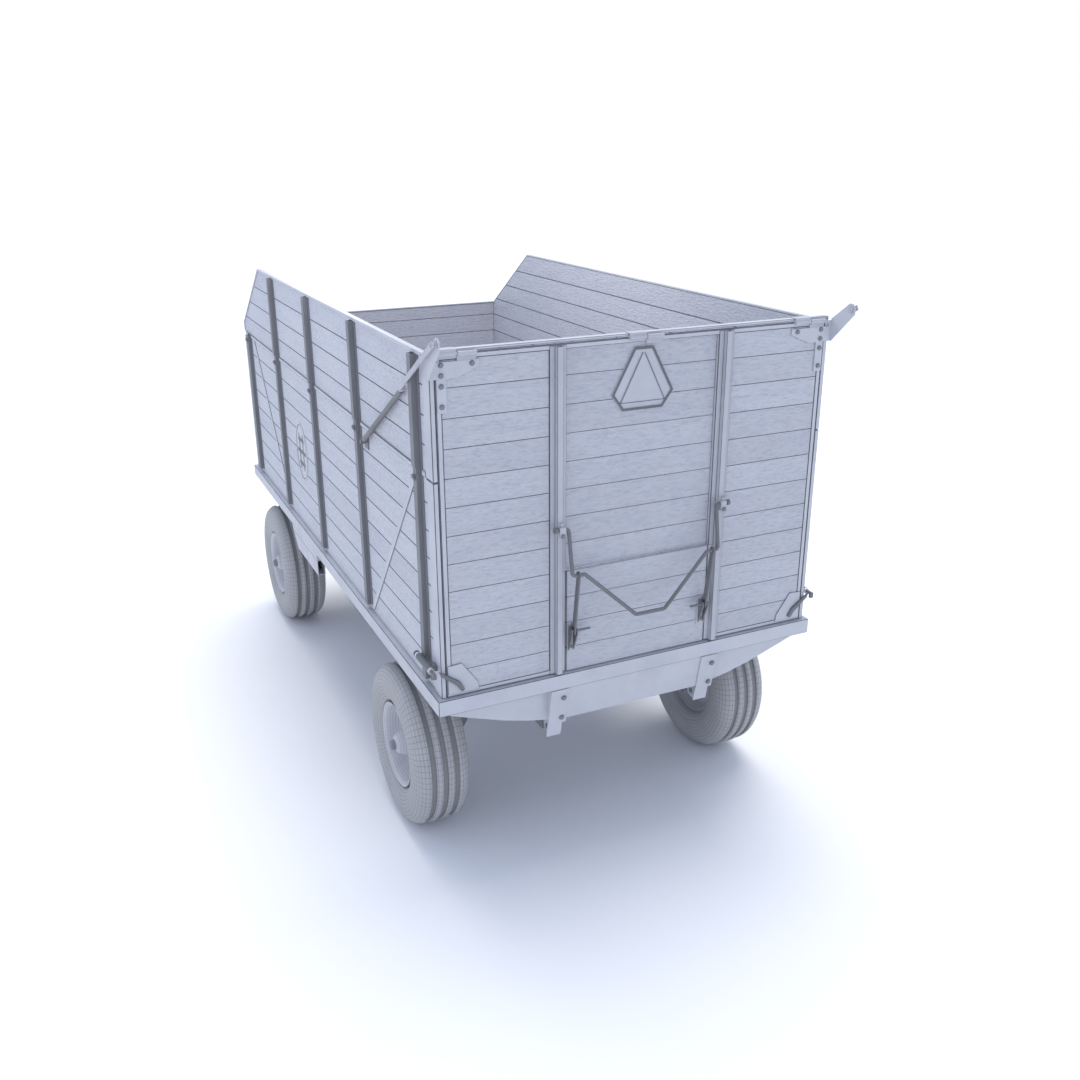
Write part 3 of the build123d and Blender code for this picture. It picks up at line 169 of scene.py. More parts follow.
def line_mask(b, axis, count, width):
    """White lines along a UV direction: count of them, each width of the spacing."""
    uv = b.add("ShaderNodeTexCoord")
    parts = b.add("ShaderNodeSeparateXYZ")
    b.link(uv, "UV", parts, "Vector")
    many = b.add("ShaderNodeMath", operation="MULTIPLY")
    many.inputs[1].default_value = count
    b.link(parts, axis, many, 0)
    saw = b.add("ShaderNodeMath", operation="FRACT")
    b.link(many, 0, saw, 0)
    line = b.add("ShaderNodeMath", operation="LESS_THAN")
    line.inputs[1].default_value = width
    b.link(saw, 0, line, 0)
    return line


def mesh_lines(b, colour, spokes, rings, strength):
    """Multiply fine dark lines into a colour; gives the mix node and the mask of the lines."""
    across = line_mask(b, "X", spokes, SPOKE_LINE)
    around = line_mask(b, "Y", rings, RING_LINE)
    either = b.add("ShaderNodeMath", operation="MAXIMUM")
    b.link(across, 0, either, 0)
    b.link(around, 0, either, 1)
    lines = b.ramp(either, "Value", [(0.0, (1, 1, 1)), (1.0, (1 - strength,) * 3)])
    return b.mix("MULTIPLY", colour, lines.outputs["Color"], 1.0), either


def painted_steel(name, level, rough=0.45, tint=PAINT_TINT, wear=0.16, grime=0.91, specular=0.4, lines=0.0):
    """Brushed-on paint over steel: orange-peel relief, thin scuffs and darker grime in patches."""
    b = Build(name)
    even = b.coords()
    patch = b.noise(even, 5.0, 5.0, 0.6)
    peel = b.noise(even, 260.0, 2.0, 0.5)
    scuff = b.noise(b.coords((1.0, 1.0, 0.22)), 46.0, 7.0, 0.7)
    base = b.ramp(patch, "Fac", [(0.28, grey(level * grime, tint)), (0.55, grey(level, tint)),
                                 (0.9, grey(level * 1.05, tint))])
    worn = b.ramp(scuff, "Fac", [(0.60, (1, 1, 1)), (0.68, (0.80, 0.79, 0.78)), (0.80, (0.70, 0.68, 0.66))])
    tone = b.mix("MULTIPLY", base.outputs["Color"], worn.outputs["Color"], wear)
    if lines:
        tone, _ = mesh_lines(b, tone.outputs[2], RIM_SPOKES, RIM_RINGS, lines)
    b.tree.links.new(tone.outputs[2], b.bsdf.inputs["Base Color"])
    shine = b.ramp(patch, "Fac", [(0.2, (rough + 0.22,) * 3), (0.8, (rough,) * 3)])
    b.link(shine, "Color", b.bsdf, "Roughness")
    bump = b.bump(peel.outputs["Fac"], 0.14, 0.0006)
    second = b.bump(scuff.outputs["Fac"], 0.12, 0.001, bump.outputs["Normal"])
    b.link(second, "Normal", b.bsdf, "Normal")
    b.bsdf.inputs["Specular IOR Level"].default_value = specular
    return b.mat


def bare_metal(name, level, rough=0.38):
    """Worn bare steel with soft patches."""
    b = Build(name)
    even = b.coords()
    patch = b.noise(even, 24.0, 5.0, 0.6)
    tone = b.ramp(patch, "Fac", [(0.3, grey(level * 0.7, (1, 1, 1.03))), (0.7, grey(level, (1, 1, 1.03)))])
    b.link(tone, "Color", b.bsdf, "Base Color")
    b.bsdf.inputs["Metallic"].default_value = 0.65
    shine = b.ramp(patch, "Fac", [(0.2, (rough + 0.2,) * 3), (0.8, (rough,) * 3)])
    b.link(shine, "Color", b.bsdf, "Roughness")
    bump = b.bump(patch.outputs["Fac"], 0.1, 0.0008)
    b.link(bump, "Normal", b.bsdf, "Normal")
    return b.mat


def rubber(name, level, strength=0.40):
    """Dusty tyre rubber with fine moulded lines round and across the side walls."""
    b = Build(name)
    even = b.coords()
    dust = b.noise(even, 6.0, 5.0, 0.6)
    pit = b.noise(even, 210.0, 3.0, 0.6)
    tone = b.ramp(dust, "Fac", [(0.3, grey(level * 0.92, NO_TINT)), (0.55, grey(level, NO_TINT)),
                                (0.8, grey(level * 1.07, NO_TINT))])
    fine = b.ramp(pit, "Fac", [(0.35, (0.90, 0.90, 0.90)), (0.55, (1, 1, 1))])
    mixed = b.mix("MULTIPLY", tone.outputs["Color"], fine.outputs["Color"], 0.5)
    lined, either = mesh_lines(b, mixed.outputs[2], TYRE_SPOKES, TYRE_RINGS, strength)
    b.tree.links.new(lined.outputs[2], b.bsdf.inputs["Base Color"])
    rough = b.ramp(dust, "Fac", [(0.3, (0.62,) * 3), (0.7, (0.85,) * 3)])
    b.link(rough, "Color", b.bsdf, "Roughness")
    bump = b.bump(pit.outputs["Fac"], 0.25, 0.0008)
    moulded = b.bump(either.outputs[0], 0.35, 0.0012, bump.outputs["Normal"])
    b.link(moulded, "Normal", b.bsdf, "Normal")
    b.bsdf.inputs["Specular IOR Level"].default_value = 0.3
    return b.mat


def two_tone_steel(name, level, dark_level, split_y):
    """Painted steel, dark where it stands out to the rear past split_y."""
    b = Build(name)
    tex = b.add("ShaderNodeTexCoord")
    parts = b.add("ShaderNodeSeparateXYZ")
    b.link(tex, "Object", parts, "Vector")
    front = b.add("ShaderNodeMath", operation="GREATER_THAN")
    front.inputs[1].default_value = split_y
    b.link(parts, "Y", front, 0)
    patch = b.noise(b.coords(), 8.0, 5.0, 0.6)
    tone = b.ramp(front, "Value", [(0.0, grey(dark_level, (0.98, 1.0, 1.06))), (1.0, grey(level))])
    cloud = b.ramp(patch, "Fac", [(0.3, (0.9, 0.9, 0.9)), (0.6, (1, 1, 1))])
    mixed = b.mix("MULTIPLY", tone.outputs["Color"], cloud.outputs["Color"], 0.9)
    b.tree.links.new(mixed.outputs[2], b.bsdf.inputs["Base Color"])
    shine = b.ramp(patch, "Fac", [(0.2, (0.6,) * 3), (0.8, (0.45,) * 3)])
    b.link(shine, "Color", b.bsdf, "Roughness")
    bump = b.bump(patch.outputs["Fac"], 0.15, 0.0010)
    b.link(bump, "Normal", b.bsdf, "Normal")
    return b.mat


GATE_WOOD = painted_boards("gate_board_paint", 0.57, (0.30, 1.0, 1.0))
# side boards a step lighter than the gate boards: painted light, for the brighter light on the left wall and
# the inner right wall
SIDE_WOOD_PAINTED_LIGHT = painted_boards("side_board_painted_light", 0.62, (1.0, 0.30, 1.0))
FRONT_WOOD = painted_boards("front_board_paint", 0.57, (0.30, 1.0, 1.0))
FLOOR_WOOD = painted_boards("floor_planks", 0.42, (1.0, 0.22, 1.0))
PALE_STEEL = painted_steel("pale_paint", 0.56)
HAT_STEEL = painted_steel("gate_stake_paint", 0.50)
STAKE_STEEL = painted_steel("stake_paint", 0.21, tint=(0.98, 1.0, 1.07))
DARK_STEEL = painted_steel("lever_paint", 0.18, tint=(0.99, 1.0, 1.05), rough=0.4)
GEAR_PAINT = painted_steel("gear_paint", 0.22, tint=(0.98, 1.0, 1.07), grime=0.8)
RIM_PAINT = painted_steel("rim_paint", 0.60, tint=(1.0, 1.0, 1.03), lines=0.34)
# dark paint for the rounded edge strips: painted shade along the edges and in the gaps between boards
EDGE_DARK = painted_steel("edge_shadow_paint", 0.135, tint=(0.97, 1.0, 1.08), rough=0.6)
PLATE_PAINT = painted_steel("emblem_paint", 0.53, wear=0.12)
LINE_PAINT = painted_steel("line_paint", 0.15, tint=(0.98, 1.0, 1.07))
CAP_PAINT = painted_steel("cap_paint", 0.26, tint=(0.97, 1.0, 1.08))
COLLAR_STEEL = bare_metal("collar_steel", 0.86)
BOLT_STEEL = painted_steel("bolt_paint", 0.24, rough=0.4)
PIN_STEEL = bare_metal("pin_steel", 0.55)
RUBBER = rubber("tyre_rubber", 0.46)
# darker rubber for the tread grooves: painted shade in the recesses
GROOVE = rubber("tyre_groove_painted_shade", 0.28, strength=0.1)
STRIKER_STEEL = two_tone_steel("striker_paint", 0.54, 0.18, GATE_REAR - 0.0045)
LUG_STEEL = two_tone_steel("door_lug_paint", 0.50, 0.18, GATE_REAR - 0.0085)

LOOK = {
    "gate_boards": GATE_WOOD,
    "door_boards": GATE_WOOD,
    "side_boards_left": SIDE_WOOD_PAINTED_LIGHT,
    "side_boards_right": SIDE_WOOD_PAINTED_LIGHT,
    "extension_left": SIDE_WOOD_PAINTED_LIGHT,
    "extension_right": SIDE_WOOD_PAINTED_LIGHT,
    "front_boards": FRONT_WOOD,
    "floor_planks": FLOOR_WOOD,
    "stakes_left": STAKE_STEEL,
    "stakes_right": STAKE_STEEL,
    "front_stakes": PALE_STEEL,
    "gate_stakes": HAT_STEEL,
    "bail_rod": DARK_STEEL,
    "link_left": DARK_STEEL,
    "link_right": DARK_STEEL,
    "stay_tube_left": DARK_STEEL,
    "stay_tube_right": DARK_STEEL,
    "stay_bar_left": HAT_STEEL,
    "stay_bar_right": HAT_STEEL,
    "latch_shaft_left": DARK_STEEL,
    "latch_shaft_right": DARK_STEEL,
    "side_fittings": DARK_STEEL,
    "door_brackets": LUG_STEEL,
    "striker_bars": STRIKER_STEEL,
    "chassis_rails": GEAR_PAINT,
    "rear_axle": GEAR_PAINT,
    "front_axle": GEAR_PAINT,
    "knuckle_left": GEAR_PAINT,
    "knuckle_right": GEAR_PAINT,
    "tie_rod_left": GEAR_PAINT,
    "tie_rod_right": GEAR_PAINT,
    "steer_plate": GEAR_PAINT,
    "drawbar": GEAR_PAINT,
    "hitch_clevis": PIN_STEEL,
    "slow_emblem": PLATE_PAINT,
    "bail_clamps": HAT_STEEL,
    "box_hinges": HAT_STEEL,
    "gate_hinges": HAT_STEEL,
    "side_badge": PALE_STEEL,
}

# rounding of the edges, in metres; the rounded strip carries a dark line of painted shade
EDGE = {
    "gate_boards": 0.0024, "door_boards": 0.0024, "side_boards_left": 0.0024, "side_boards_right": 0.0024,
    "extension_left": 0.0024, "extension_right": 0.0024, "front_boards": 0.0022, "floor_planks": 0.0018,
    "gate_frame": 0.0026, "corner_posts": 0.0036, "rear_beam": 0.0022, "top_rails": 0.0034,
    "header_bar": 0.0020, "seam_rails": 0.0030, "side_braces": 0.0016, "wheel_guards": 0.0022,
    "gate_stakes": 0.0019, "front_stakes": 0.0019, "bed_sills": 0.0030, "corner_gussets": 0.0026,
    "striker_bars": 0.0014, "rear_brackets": 0.0028, "side_badge": 0.0015,
    "bail_clamps": 0.0016, "door_brackets": 0.0020, "stay_bar_left": 0.0024, "stay_bar_right": 0.0024,
}
SHARP_EDGE = math.radians(35)
SMOOTH_LIMIT = math.radians(38)


def round_edges(obj, width):
    """Weld and bevel the sharp edges; the bevel takes the object's second material."""
    layer = obj.data.attributes.get("custom_normal")
    if layer is not None:
        obj.data.attributes.remove(layer)
    weld = obj.modifiers.new("weld", "WELD")
    weld.merge_threshold = 1e-5
    bevel = obj.modifiers.new("bevel", "BEVEL")
    bevel.width = width
    bevel.segments = 2
    bevel.limit_method = "ANGLE"
    bevel.angle_limit = SHARP_EDGE
    bevel.harden_normals = True
    bevel.material = 1
    for polygon in obj.data.polygons:
        polygon.use_smooth = True


def dress(node, obj):
    look = LOOK.get(node, PALE_STEEL)
    if node.startswith("tyre"):
        look = RUBBER
    if node.startswith("rim"):
        look = RIM_PAINT
    obj.data.materials.clear()
    obj.data.materials.append(look)
    if node in EDGE:
        obj.data.materials.append(EDGE_DARK)
        round_edges(obj, EDGE[node])


for node_name, node_object in NODES.items():
    dress(node_name, node_object)

# ------------------------------------------------------------------ mesh helpers


def finish_mesh(name, bm, material, body, smooth=True, bevel=0.0):
    """Turn a bmesh into a piece that rides a body and fills a slot."""
    mesh = bpy.data.meshes.new(name)
    bm.normal_update()
    bm.to_mesh(mesh)
    bm.free()
    obj = bpy.data.objects.new(name, mesh)
    bpy.context.scene.collection.objects.link(obj)
    for item in material if isinstance(material, (list, tuple)) else [material]:
        mesh.materials.append(item)
    if smooth:
        for polygon in mesh.polygons:
            polygon.use_smooth = True
        mesh.set_sharp_from_angle(angle=SMOOTH_LIMIT)
    if bevel > 0:
        mod = obj.modifiers.new("bevel", "BEVEL")
        mod.width = bevel
        mod.segments = 2
        mod.limit_method = "ANGLE"
        mod.angle_limit = SHARP_EDGE
    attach(obj, body)
    return obj


def lathe(bm, profile, turns, axis_to, material_of=None):
    """Turn (radius, along) points round an axis; axis_to maps (radius, along, angle) to a point."""
    uv = bm.loops.layers.uv.verify()
    along = [0.0]
    for (r0, a0), (r1, a1) in zip(profile, profile[1:]):
        along.append(along[-1] + math.hypot(r1 - r0, a1 - a0))
    rings = []
    for step in range(turns):
        angle = 2 * math.pi * step / turns
        rings.append([bm.verts.new(axis_to(r, a, angle)) for r, a in profile])
    for step in range(turns):
        here = rings[step]
        after = rings[(step + 1) % turns]
        for i in range(len(profile) - 1):
            face = bm.faces.new((here[i], after[i], after[i + 1], here[i + 1]))
            places = ((step, i), (step + 1, i), (step + 1, i + 1), (step, i + 1))
            for loop, (u, v) in zip(face.loops, places):
                loop[uv].uv = (u / turns, along[v])
            if material_of:
                face.material_index = material_of(i)


WASHER_THICK = 0.0018
WASHER_SIDES = 24
CHAMFER = 0.86


def hex_bolt(bm, centre, normal, radius, height, washer):
    """Hexagon head on a round washer, chamfered on top."""
    normal = Vector(normal).normalized()
    side = normal.orthogonal().normalized()
    other = normal.cross(side)
    spin = rng.uniform(0, math.pi / 3)

    def ring(r, h, count, turn=0.0):
        made = []
        for i in range(count):
            a = turn + 2 * math.pi * i / count
            offset = side * (r * math.cos(a)) + other * (r * math.sin(a))
            made.append(bm.verts.new(centre + offset + normal * h))
        return made

    def wall(low, high):
        for i in range(len(low)):
            j = (i + 1) % len(low)
            bm.faces.new((low[i], low[j], high[j], high[i]))

    w0 = ring(washer, 0.0, WASHER_SIDES)
    w1 = ring(washer, WASHER_THICK, WASHER_SIDES)
    wall(w0, w1)
    bm.faces.new(w1)
    h0 = ring(radius, WASHER_THICK, 6, spin)
    h1 = ring(radius, WASHER_THICK + height * CHAMFER, 6, spin)
    h2 = ring(radius * CHAMFER, WASHER_THICK + height, 6, spin)
    wall(h0, h1)
    wall(h1, h2)
    bm.faces.new(h2)


# ------------------------------------------------------------------ wheels

# half section of a tyre, bead to shoulder: (radius, along the axle)
SECTION = (
    (0.232, 0.1030), (0.2472, 0.1032), (0.2500, 0.1090), (0.2550, 0.1240), (0.2640, 0.1330),
    (0.2720, 0.1385), (0.2745, 0.1402), (0.2770, 0.1408), (0.2950, 0.1490), (0.3060, 0.1528),
    (0.3080, 0.1545), (0.3110, 0.1550), (0.3300, 0.1586), (0.3500, 0.1598), (0.3700, 0.1592),
    (0.3880, 0.1568), (0.4030, 0.1530), (0.4180, 0.1480), (0.4320, 0.1405), (0.4440, 0.1300),
    (0.4540, 0.1170), (0.4605, 0.1050), (0.4640, 0.0940),
)
TYRE_R = 0.470
RIB_PITCH = 0.066
GROOVE_HALF = 0.0145
GROOVE_DEEP = 0.014
RIB_EDGE = 0.0035
TYRE_TURNS = 144
WHEEL_TURNS = 96


def tread_profile():
    """Tread across the tyre: (radius, along, in a groove) with three round-edged grooves."""
    points = []
    for mid in (RIB_PITCH, 0.0, -RIB_PITCH):
        lip = GROOVE_HALF + RIB_EDGE
        top = TYRE_R - 0.004 * abs(mid) / RIB_PITCH
        points.append((top - 0.0006, mid + lip + 0.003, 0))
        points.append((top - 0.0022, mid + lip, 0))
        points.append((top - 0.0060, mid + GROOVE_HALF, 1))
        points.append((top - GROOVE_DEEP, mid + GROOVE_HALF - 0.003, 1))
        points.append((top - GROOVE_DEEP, mid - GROOVE_HALF + 0.003, 1))
        points.append((top - 0.0060, mid - GROOVE_HALF, 1))
        points.append((top - 0.0022, mid - lip, 0))
        points.append((top - 0.0006, mid - lip - 0.003, 0))
        if mid > -RIB_PITCH / 2:
            points.append((TYRE_R - 0.0006, mid - RIB_PITCH / 2, 0))
    return points


def wheel_place(centre, side):
    """Map (radius, along, angle) onto a wheel whose outside is towards side."""
    def place(r, a, angle):
        return centre + Vector((side * a, r * math.cos(angle), r * math.sin(angle)))

    return place


def wheel_frame(corner, node):
    low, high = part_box(node)
    side = -1 if corner.endswith("left") else 1
    return (low + high) / 2, side


def tyre_piece(corner):
    """Implement tyre: two centre ribs between three grooves, round shoulders, ringed side walls."""
    node = "tyre_" + corner
    centre, side = wheel_frame(corner, node)
    profile = [(r, a, 0) for r, a in SECTION]
    profile += tread_profile()
    profile += [(r, -a, 0) for r, a in reversed(SECTION)]
    dark = [k for r, a, k in profile]
    bm = bmesh.new()
    place = wheel_place(centre, side)
    skin = [(r, a) for r, a, k in profile]
    # faces inside a groove take the darker groove rubber, painted shade
    lathe(bm, skin, TYRE_TURNS, place, lambda i: 1 if dark[i] and dark[i + 1] else 0)
    inner = [(0.232, -0.103), (0.250, -0.090), (0.300, -0.125), (0.400, -0.125), (0.440, -0.08),
             (0.440, 0.08), (0.400, 0.125), (0.300, 0.125), (0.250, 0.090), (0.232, 0.103)]
    lathe(bm, inner, WHEEL_TURNS, place)
    obj = finish_mesh(node + ".moulded", bm, [RUBBER, GROOVE], "wheel_" + corner)
    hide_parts(node)


# outer and inner skin of a wheel, hub cap first: (radius, along the axle)
DISH = (
    (0.0, 0.1538), (0.0140, 0.1534), (0.0225, 0.1508), (0.0282, 0.1440), (0.0305, 0.1250), (0.0345, 0.1215),
    (0.0470, 0.1185), (0.0520, 0.1130), (0.0565, 0.1060), (0.0660, 0.0850), (0.0735, 0.0640),
    (0.0775, 0.0400), (0.0790, 0.0040), (0.0820, -0.0180), (0.0890, -0.0270), (0.1050, -0.0290),
    (0.1300, -0.0255),
    (0.1600, -0.0165), (0.1830, -0.0020), (0.1990, 0.0190), (0.2090, 0.0440), (0.2155, 0.0700),
    (0.2200, 0.0930), (0.2265, 0.1065), (0.2360, 0.1145), (0.2420, 0.1178), (0.2450, 0.1165),
    (0.2455, 0.1120), (0.2400, 0.1060), (0.2300, 0.1000), (0.2285, 0.0600),
)
DISH_BACK = (
    (0.2285, -0.0600), (0.2300, -0.1000), (0.2400, -0.1060), (0.2455, -0.1120), (0.2450, -0.1165),
    (0.2420, -0.1178), (0.2340, -0.1120), (0.2230, -0.0960), (0.2180, -0.0600), (0.2050, -0.0440),
    (0.1800, -0.0380), (0.1300, -0.0360), (0.0700, -0.0370), (0.0560, -0.0420), (0.0540, -0.1080),
    (0.0500, -0.1120), (0.0300, -0.1120), (0.0298, 0.0745), (0.0, 0.0745),
)
CAP_BANDS = 4


def rim_piece(corner):
    """Pressed wheel: rolled lip, deep dish and a cone hub with a round cap."""
    node = "rim_" + corner
    centre, side = wheel_frame(corner, node)
    bm = bmesh.new()
    lathe(bm, DISH + DISH_BACK, WHEEL_TURNS, wheel_place(centre, side),
          lambda i: 1 if i < CAP_BANDS else 0)
    bmesh.ops.remove_doubles(bm, verts=bm.verts, dist=1e-5)
    obj = finish_mesh(node + ".pressed", bm, [RIM_PAINT, CAP_PAINT], "wheel_" + corner)
    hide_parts(node)


for corner_name in WHEELS:
    tyre_piece(corner_name)
    rim_piece(corner_name)

# ------------------------------------------------------------------ bolts, plates and collars


def bolt_group(name, places, normal, body, radius=0.0102, height=0.0085, washer=0.0124):
    bm = bmesh.new()
    for centre in places:
        hex_bolt(bm, centre, normal, radius, height, washer)
    finish_mesh(name, bm, BOLT_STEEL, body, smooth=False)


def mirrored(points):
    return [Vector((side * p.x, p.y, p.z)) for p in points for side in (-1, 1)]


GUSSET_SPOTS = ((1.038, 1.645), (1.038, 1.598), (1.038, 1.550), (1.038, 1.458), (0.890, 1.643))
bolt_group("gusset_bolts", mirrored([local(x, -0.007, DECK_Z + z) for x, z in GUSSET_SPOTS]), (0, -1, 0),
           "tailgate")
BRACKET_FACE = ((0.0157, 0.872), (-0.0104, 1.000))
bracket_bolts = [local(side * 0.455 + 0.024, y, z) for side in (-1, 1) for y, z in BRACKET_FACE]
bolt_group("bracket_bolts", bracket_bolts, (0, -0.98, -0.2), "box", 0.0130, 0.0085, 0.0150)
for side_name, side_sign in (("left", -1), ("right", 1)):
    spots = [local(side_sign * 1.117, 0.200 + 1.010 * k, SEAM_Z - 0.040) for k in range(5)]
    bolt_group("stake_bolts_" + side_name, spots, (side_sign, 0, 0), "box", 0.0120, 0.0088)
clamp_low = mirrored([local(0.4635, -0.062, 1.914)])
bolt_group("clamp_bolts", clamp_low, (0, -1, 0), "tailgate", 0.0105, 0.0088, 0.0120)


def ellipse_ring(bm, centre, inner, outer, thick, normal_x):
    """Flat oval ring standing on a wall whose outside is towards normal_x."""
    steps = 96
    rings = []
    for (half_y, half_z), depth in ((outer, 0.0), (outer, thick), (inner, thick), (inner, 0.0)):
        row = []
        for i in range(steps):
            a = 2 * math.pi * i / steps
            spot = Vector((normal_x * depth, half_y * math.cos(a), half_z * math.sin(a)))
            row.append(bm.verts.new(centre + spot))
        rings.append(row)
    for low, high in zip(rings, rings[1:]):
        for i in range(steps):
            j = (i + 1) % steps
            bm.faces.new((low[i], low[j], high[j], high[i]))


def slab(bm, low, high):
    """Plain bar between two corners; its edges are rounded by the bevel of the piece."""
    xs, ys, zs = zip(low, high)
    v = [bm.verts.new((x, y, z)) for x in xs for y in ys for z in zs]
    for face in ((0, 1, 3, 2), (4, 6, 7, 5), (0, 4, 5, 1), (2, 3, 7, 6), (0, 2, 6, 4), (1, 5, 7, 3)):
        bm.faces.new([v[i] for i in face])


def badge_piece():
    """Generic oval crest: a dark border and plain crossing bars."""
    low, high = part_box("side_badge")
    face_x = low.x + 0.0020
    centre = Vector((face_x, (low.y + high.y) / 2, (low.z + high.z) / 2))
    bm = bmesh.new()
    ellipse_ring(bm, centre, (0.132, 0.187), (0.1495, 0.2045), 0.0019, -1)
    for mid_z, half_y in ((0.085, 0.070), (0.0, 0.105), (-0.085, 0.070)):
        low_end = Vector((-0.0018, -half_y, mid_z - 0.013))
        slab(bm, centre + low_end, centre + Vector((0, half_y, mid_z + 0.013)))
    for mid_y in (-0.045, 0.045):
        low_end = Vector((-0.0014, mid_y - 0.009, -0.125))
        slab(bm, centre + low_end, centre + Vector((0, mid_y + 0.009, 0.125)))
    finish_mesh("badge_crest", bm, LINE_PAINT, "box", smooth=False, bevel=0.0006)


def ribbon(bm, points, wide, rear, thick, closed=True):
    """Flat band of even width along straight lines in an XZ plane, standing out towards -Y."""
    count = len(points)
    inner = []
    outer = []
    for i, (x, z) in enumerate(points):
        before = Vector(points[i - 1] if closed or i > 0 else points[i])
        after = Vector(points[(i + 1) % count] if closed or i < count - 1 else points[i])
        here = Vector((x, z))
        legs = [v.normalized() for v in (here - before, after - here) if v.length > 0]
        along = sum(legs, Vector((0.0, 0.0))).normalized()
        across = Vector((-along.y, along.x))
        reach = wide / 2 / max(0.3, abs(across.dot(Vector((-legs[0].y, legs[0].x)))))
        inner.append(here - across * reach)
        outer.append(here + across * reach)
    rows = []
    for line, y in ((inner, rear), (inner, rear - thick), (outer, rear - thick), (outer, rear)):
        rows.append([bm.verts.new((p.x, y, p.y)) for p in line])
    for low, high in zip(rows, rows[1:]):
        for i in range(count if closed else count - 1):
            j = (i + 1) % count
            bm.faces.new((low[i], low[j], high[j], high[i]))


def emblem_piece():
    """Dark border on the raised rim of the plate, and the folds of its inner triangle."""
    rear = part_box("slow_emblem")[0].y
    rim = [(-0.0485, 1.634), (-0.164, 1.4175), (-0.108, 1.341),
           (0.108, 1.341), (0.164, 1.4175), (0.0485, 1.634)]
    foot_z = DECK_Z + 1.374
    bm = bmesh.new()
    ribbon(bm, [(x, DECK_Z + z) for x, z in rim], 0.0125, rear, 0.0012)
    for side in (-1, 1):
        fold = [(side * 0.006, DECK_Z + 1.612), (side * 0.124, foot_z)]
        ribbon(bm, fold, 0.0026, rear + 0.0008, 0.0016, closed=False)
    ribbon(bm, [(-0.124, foot_z), (0.124, foot_z)], 0.0026, rear + 0.0008, 0.0016, closed=False)
    bmesh.ops.recalc_face_normals(bm, faces=bm.faces)
    finish_mesh("emblem_border", bm, LINE_PAINT, "tailgate", smooth=False)


badge_piece()
emblem_piece()


def collar(bm, centre, axis, radius, half, bore):
    """Short turned ring with chamfered rims round a shaft."""
    axis = Vector(axis)
    side = axis.orthogonal().normalized()
    other = axis.cross(side)
    cut = min(half, radius - bore) * 0.3
    profile = [(bore, -half), (radius - cut, -half), (radius, -half + cut), (radius, half - cut),
               (radius - cut, half), (bore, half)]

    def place(r, a, angle):
        return centre + side * (r * math.cos(angle)) + other * (r * math.sin(angle)) + axis * a

    lathe(bm, profile, 40, place)


for side_name, side_sign in (("left", -1), ("right", 1)):
    bm_collar = bmesh.new()
    for along in (0.223, 0.035):
        collar(bm_collar, local(side_sign * 1.131, along, DECK_Z + 0.150), (0, 1, 0), 0.0165, 0.008, 0.0101)
    finish_mesh("latch_collars_" + side_name, bm_collar, COLLAR_STEEL, "latch_" + side_name)

# ------------------------------------------------------------------ camera, light, floor

camera_data = bpy.data.cameras.new("camera")
camera = bpy.data.objects.new("camera", camera_data)
bpy.context.scene.collection.objects.link(camera)
camera_data.sensor_width = 36.0
camera_data.lens = 35.61
camera_data.clip_end = 200.0
camera.location = (-2.6155, GATE_REAR - 4.3869, 3.7195)
YAW = 0.4401
PITCH = 0.3609
ROLL = 0.0044
camera.rotation_mode = "XYZ"
camera.rotation_euler = (math.pi / 2 - PITCH, ROLL, -YAW)
bpy.context.scene.camera = camera

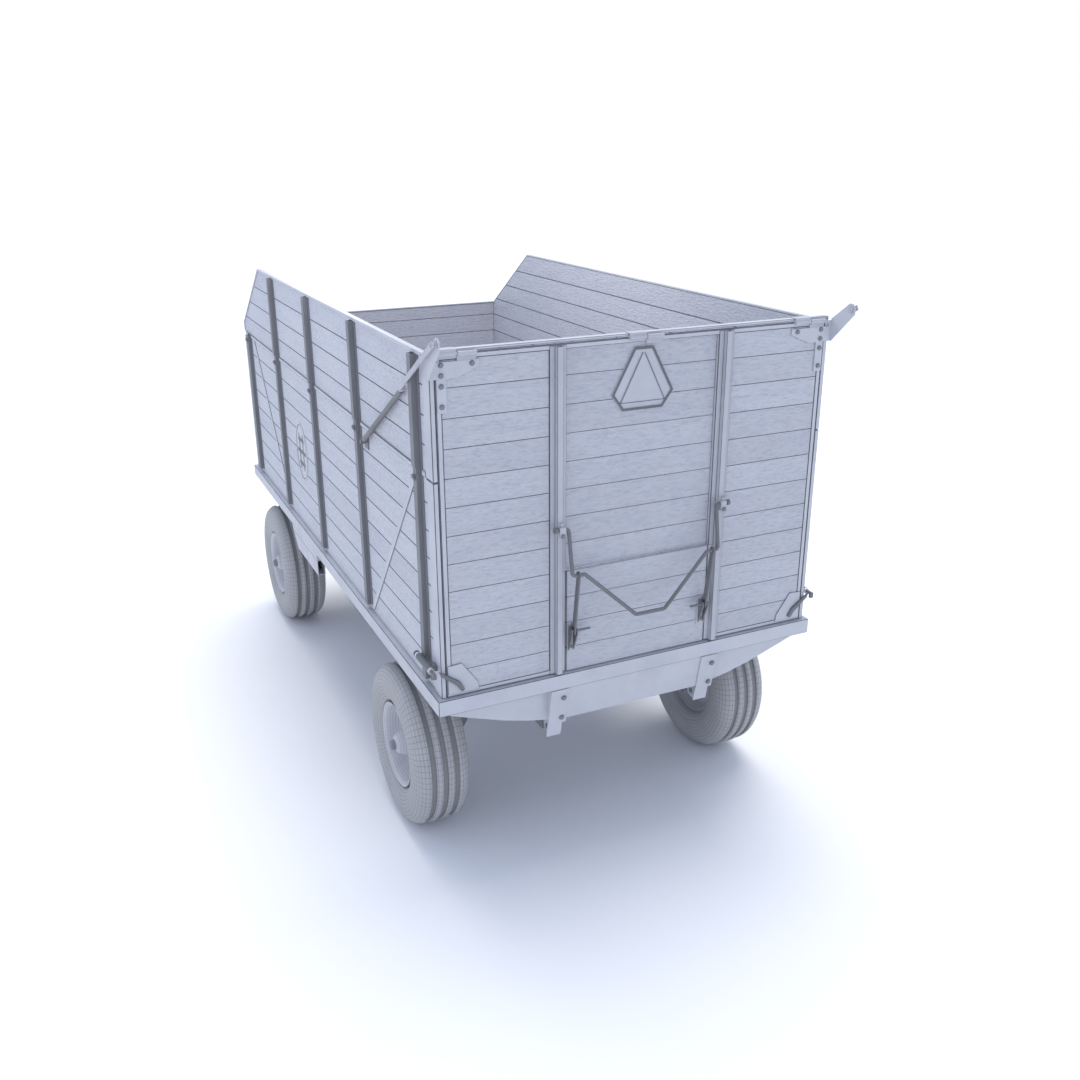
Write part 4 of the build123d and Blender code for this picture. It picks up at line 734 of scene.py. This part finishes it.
world = bpy.data.worlds.new("world")
bpy.context.scene.world = world
world.use_nodes = True
sky_tree = world.node_tree
dome = sky_tree.nodes["Background"]
dome.inputs["Color"].default_value = (0.69, 0.785, 1.0, 1.0)
dome.inputs["Strength"].default_value = 0.90
backdrop = sky_tree.nodes.new("ShaderNodeBackground")
backdrop.inputs["Color"].default_value = (1.0, 1.0, 1.0, 1.0)
seen = sky_tree.nodes.new("ShaderNodeLightPath")
choose = sky_tree.nodes.new("ShaderNodeMixShader")
sky_tree.links.new(seen.outputs["Is Camera Ray"], choose.inputs[0])
sky_tree.links.new(dome.outputs[0], choose.inputs[1])
sky_tree.links.new(backdrop.outputs[0], choose.inputs[2])
sky_tree.links.new(choose.outputs[0], sky_tree.nodes["World Output"].inputs["Surface"])

sun_data = bpy.data.lights.new("sun", "SUN")
sun_data.energy = 1.95
sun_data.angle = math.radians(48)
sun_data.color = (1.0, 0.955, 0.87)
sun = bpy.data.objects.new("sun", sun_data)
sun.rotation_euler = (math.radians(-19), math.radians(11), 0.0)
bpy.context.scene.collection.objects.link(sun)

# brightens the inside of the box at rest; a tipped box swings through it and shows a burnt patch
fill_data = bpy.data.lights.new("box_fill", "AREA")
fill_data.shape = "RECTANGLE"
fill_data.size = 1.0
fill_data.size_y = 2.6
fill_data.energy = 45.0
fill_data.color = (1.0, 0.985, 0.96)
fill = bpy.data.objects.new("box_fill", fill_data)
fill.location = local(-0.45, 2.1, 4.6)
fill_aim = local(1.06, 3.3, 1.9) - fill.location
fill.rotation_euler = fill_aim.to_track_quat("-Z", "Y").to_euler()
fill.visible_camera = False
bpy.context.scene.collection.objects.link(fill)

floor_mat = Build("floor")
floor_noise = floor_mat.noise(floor_mat.coords(), 0.8, 3.0)
floor_tone = floor_mat.ramp(floor_noise, "Fac", [(0.3, (0.955, 0.955, 0.958)), (0.7, (0.972, 0.972, 0.975))])
floor_mat.link(floor_tone, "Color", floor_mat.bsdf, "Base Color")
floor_mat.bsdf.inputs["Roughness"].default_value = 0.9
FLOOR_HALF = 60
bm_floor = bmesh.new()
SIGNS = ((-1, -1), (1, -1), (1, 1), (-1, 1))
corners = [bm_floor.verts.new((sx * FLOOR_HALF, sy * FLOOR_HALF, 0)) for sx, sy in SIGNS]
bm_floor.faces.new(corners)
floor_mesh = bpy.data.meshes.new("floor")
bm_floor.to_mesh(floor_mesh)
bm_floor.free()
floor_mesh.materials.append(floor_mat.mat)
floor = bpy.data.objects.new("floor", floor_mesh)
bpy.context.scene.collection.objects.link(floor)

scene = bpy.context.scene
scene.view_settings.view_transform = "Standard"
scene.view_settings.look = "None"
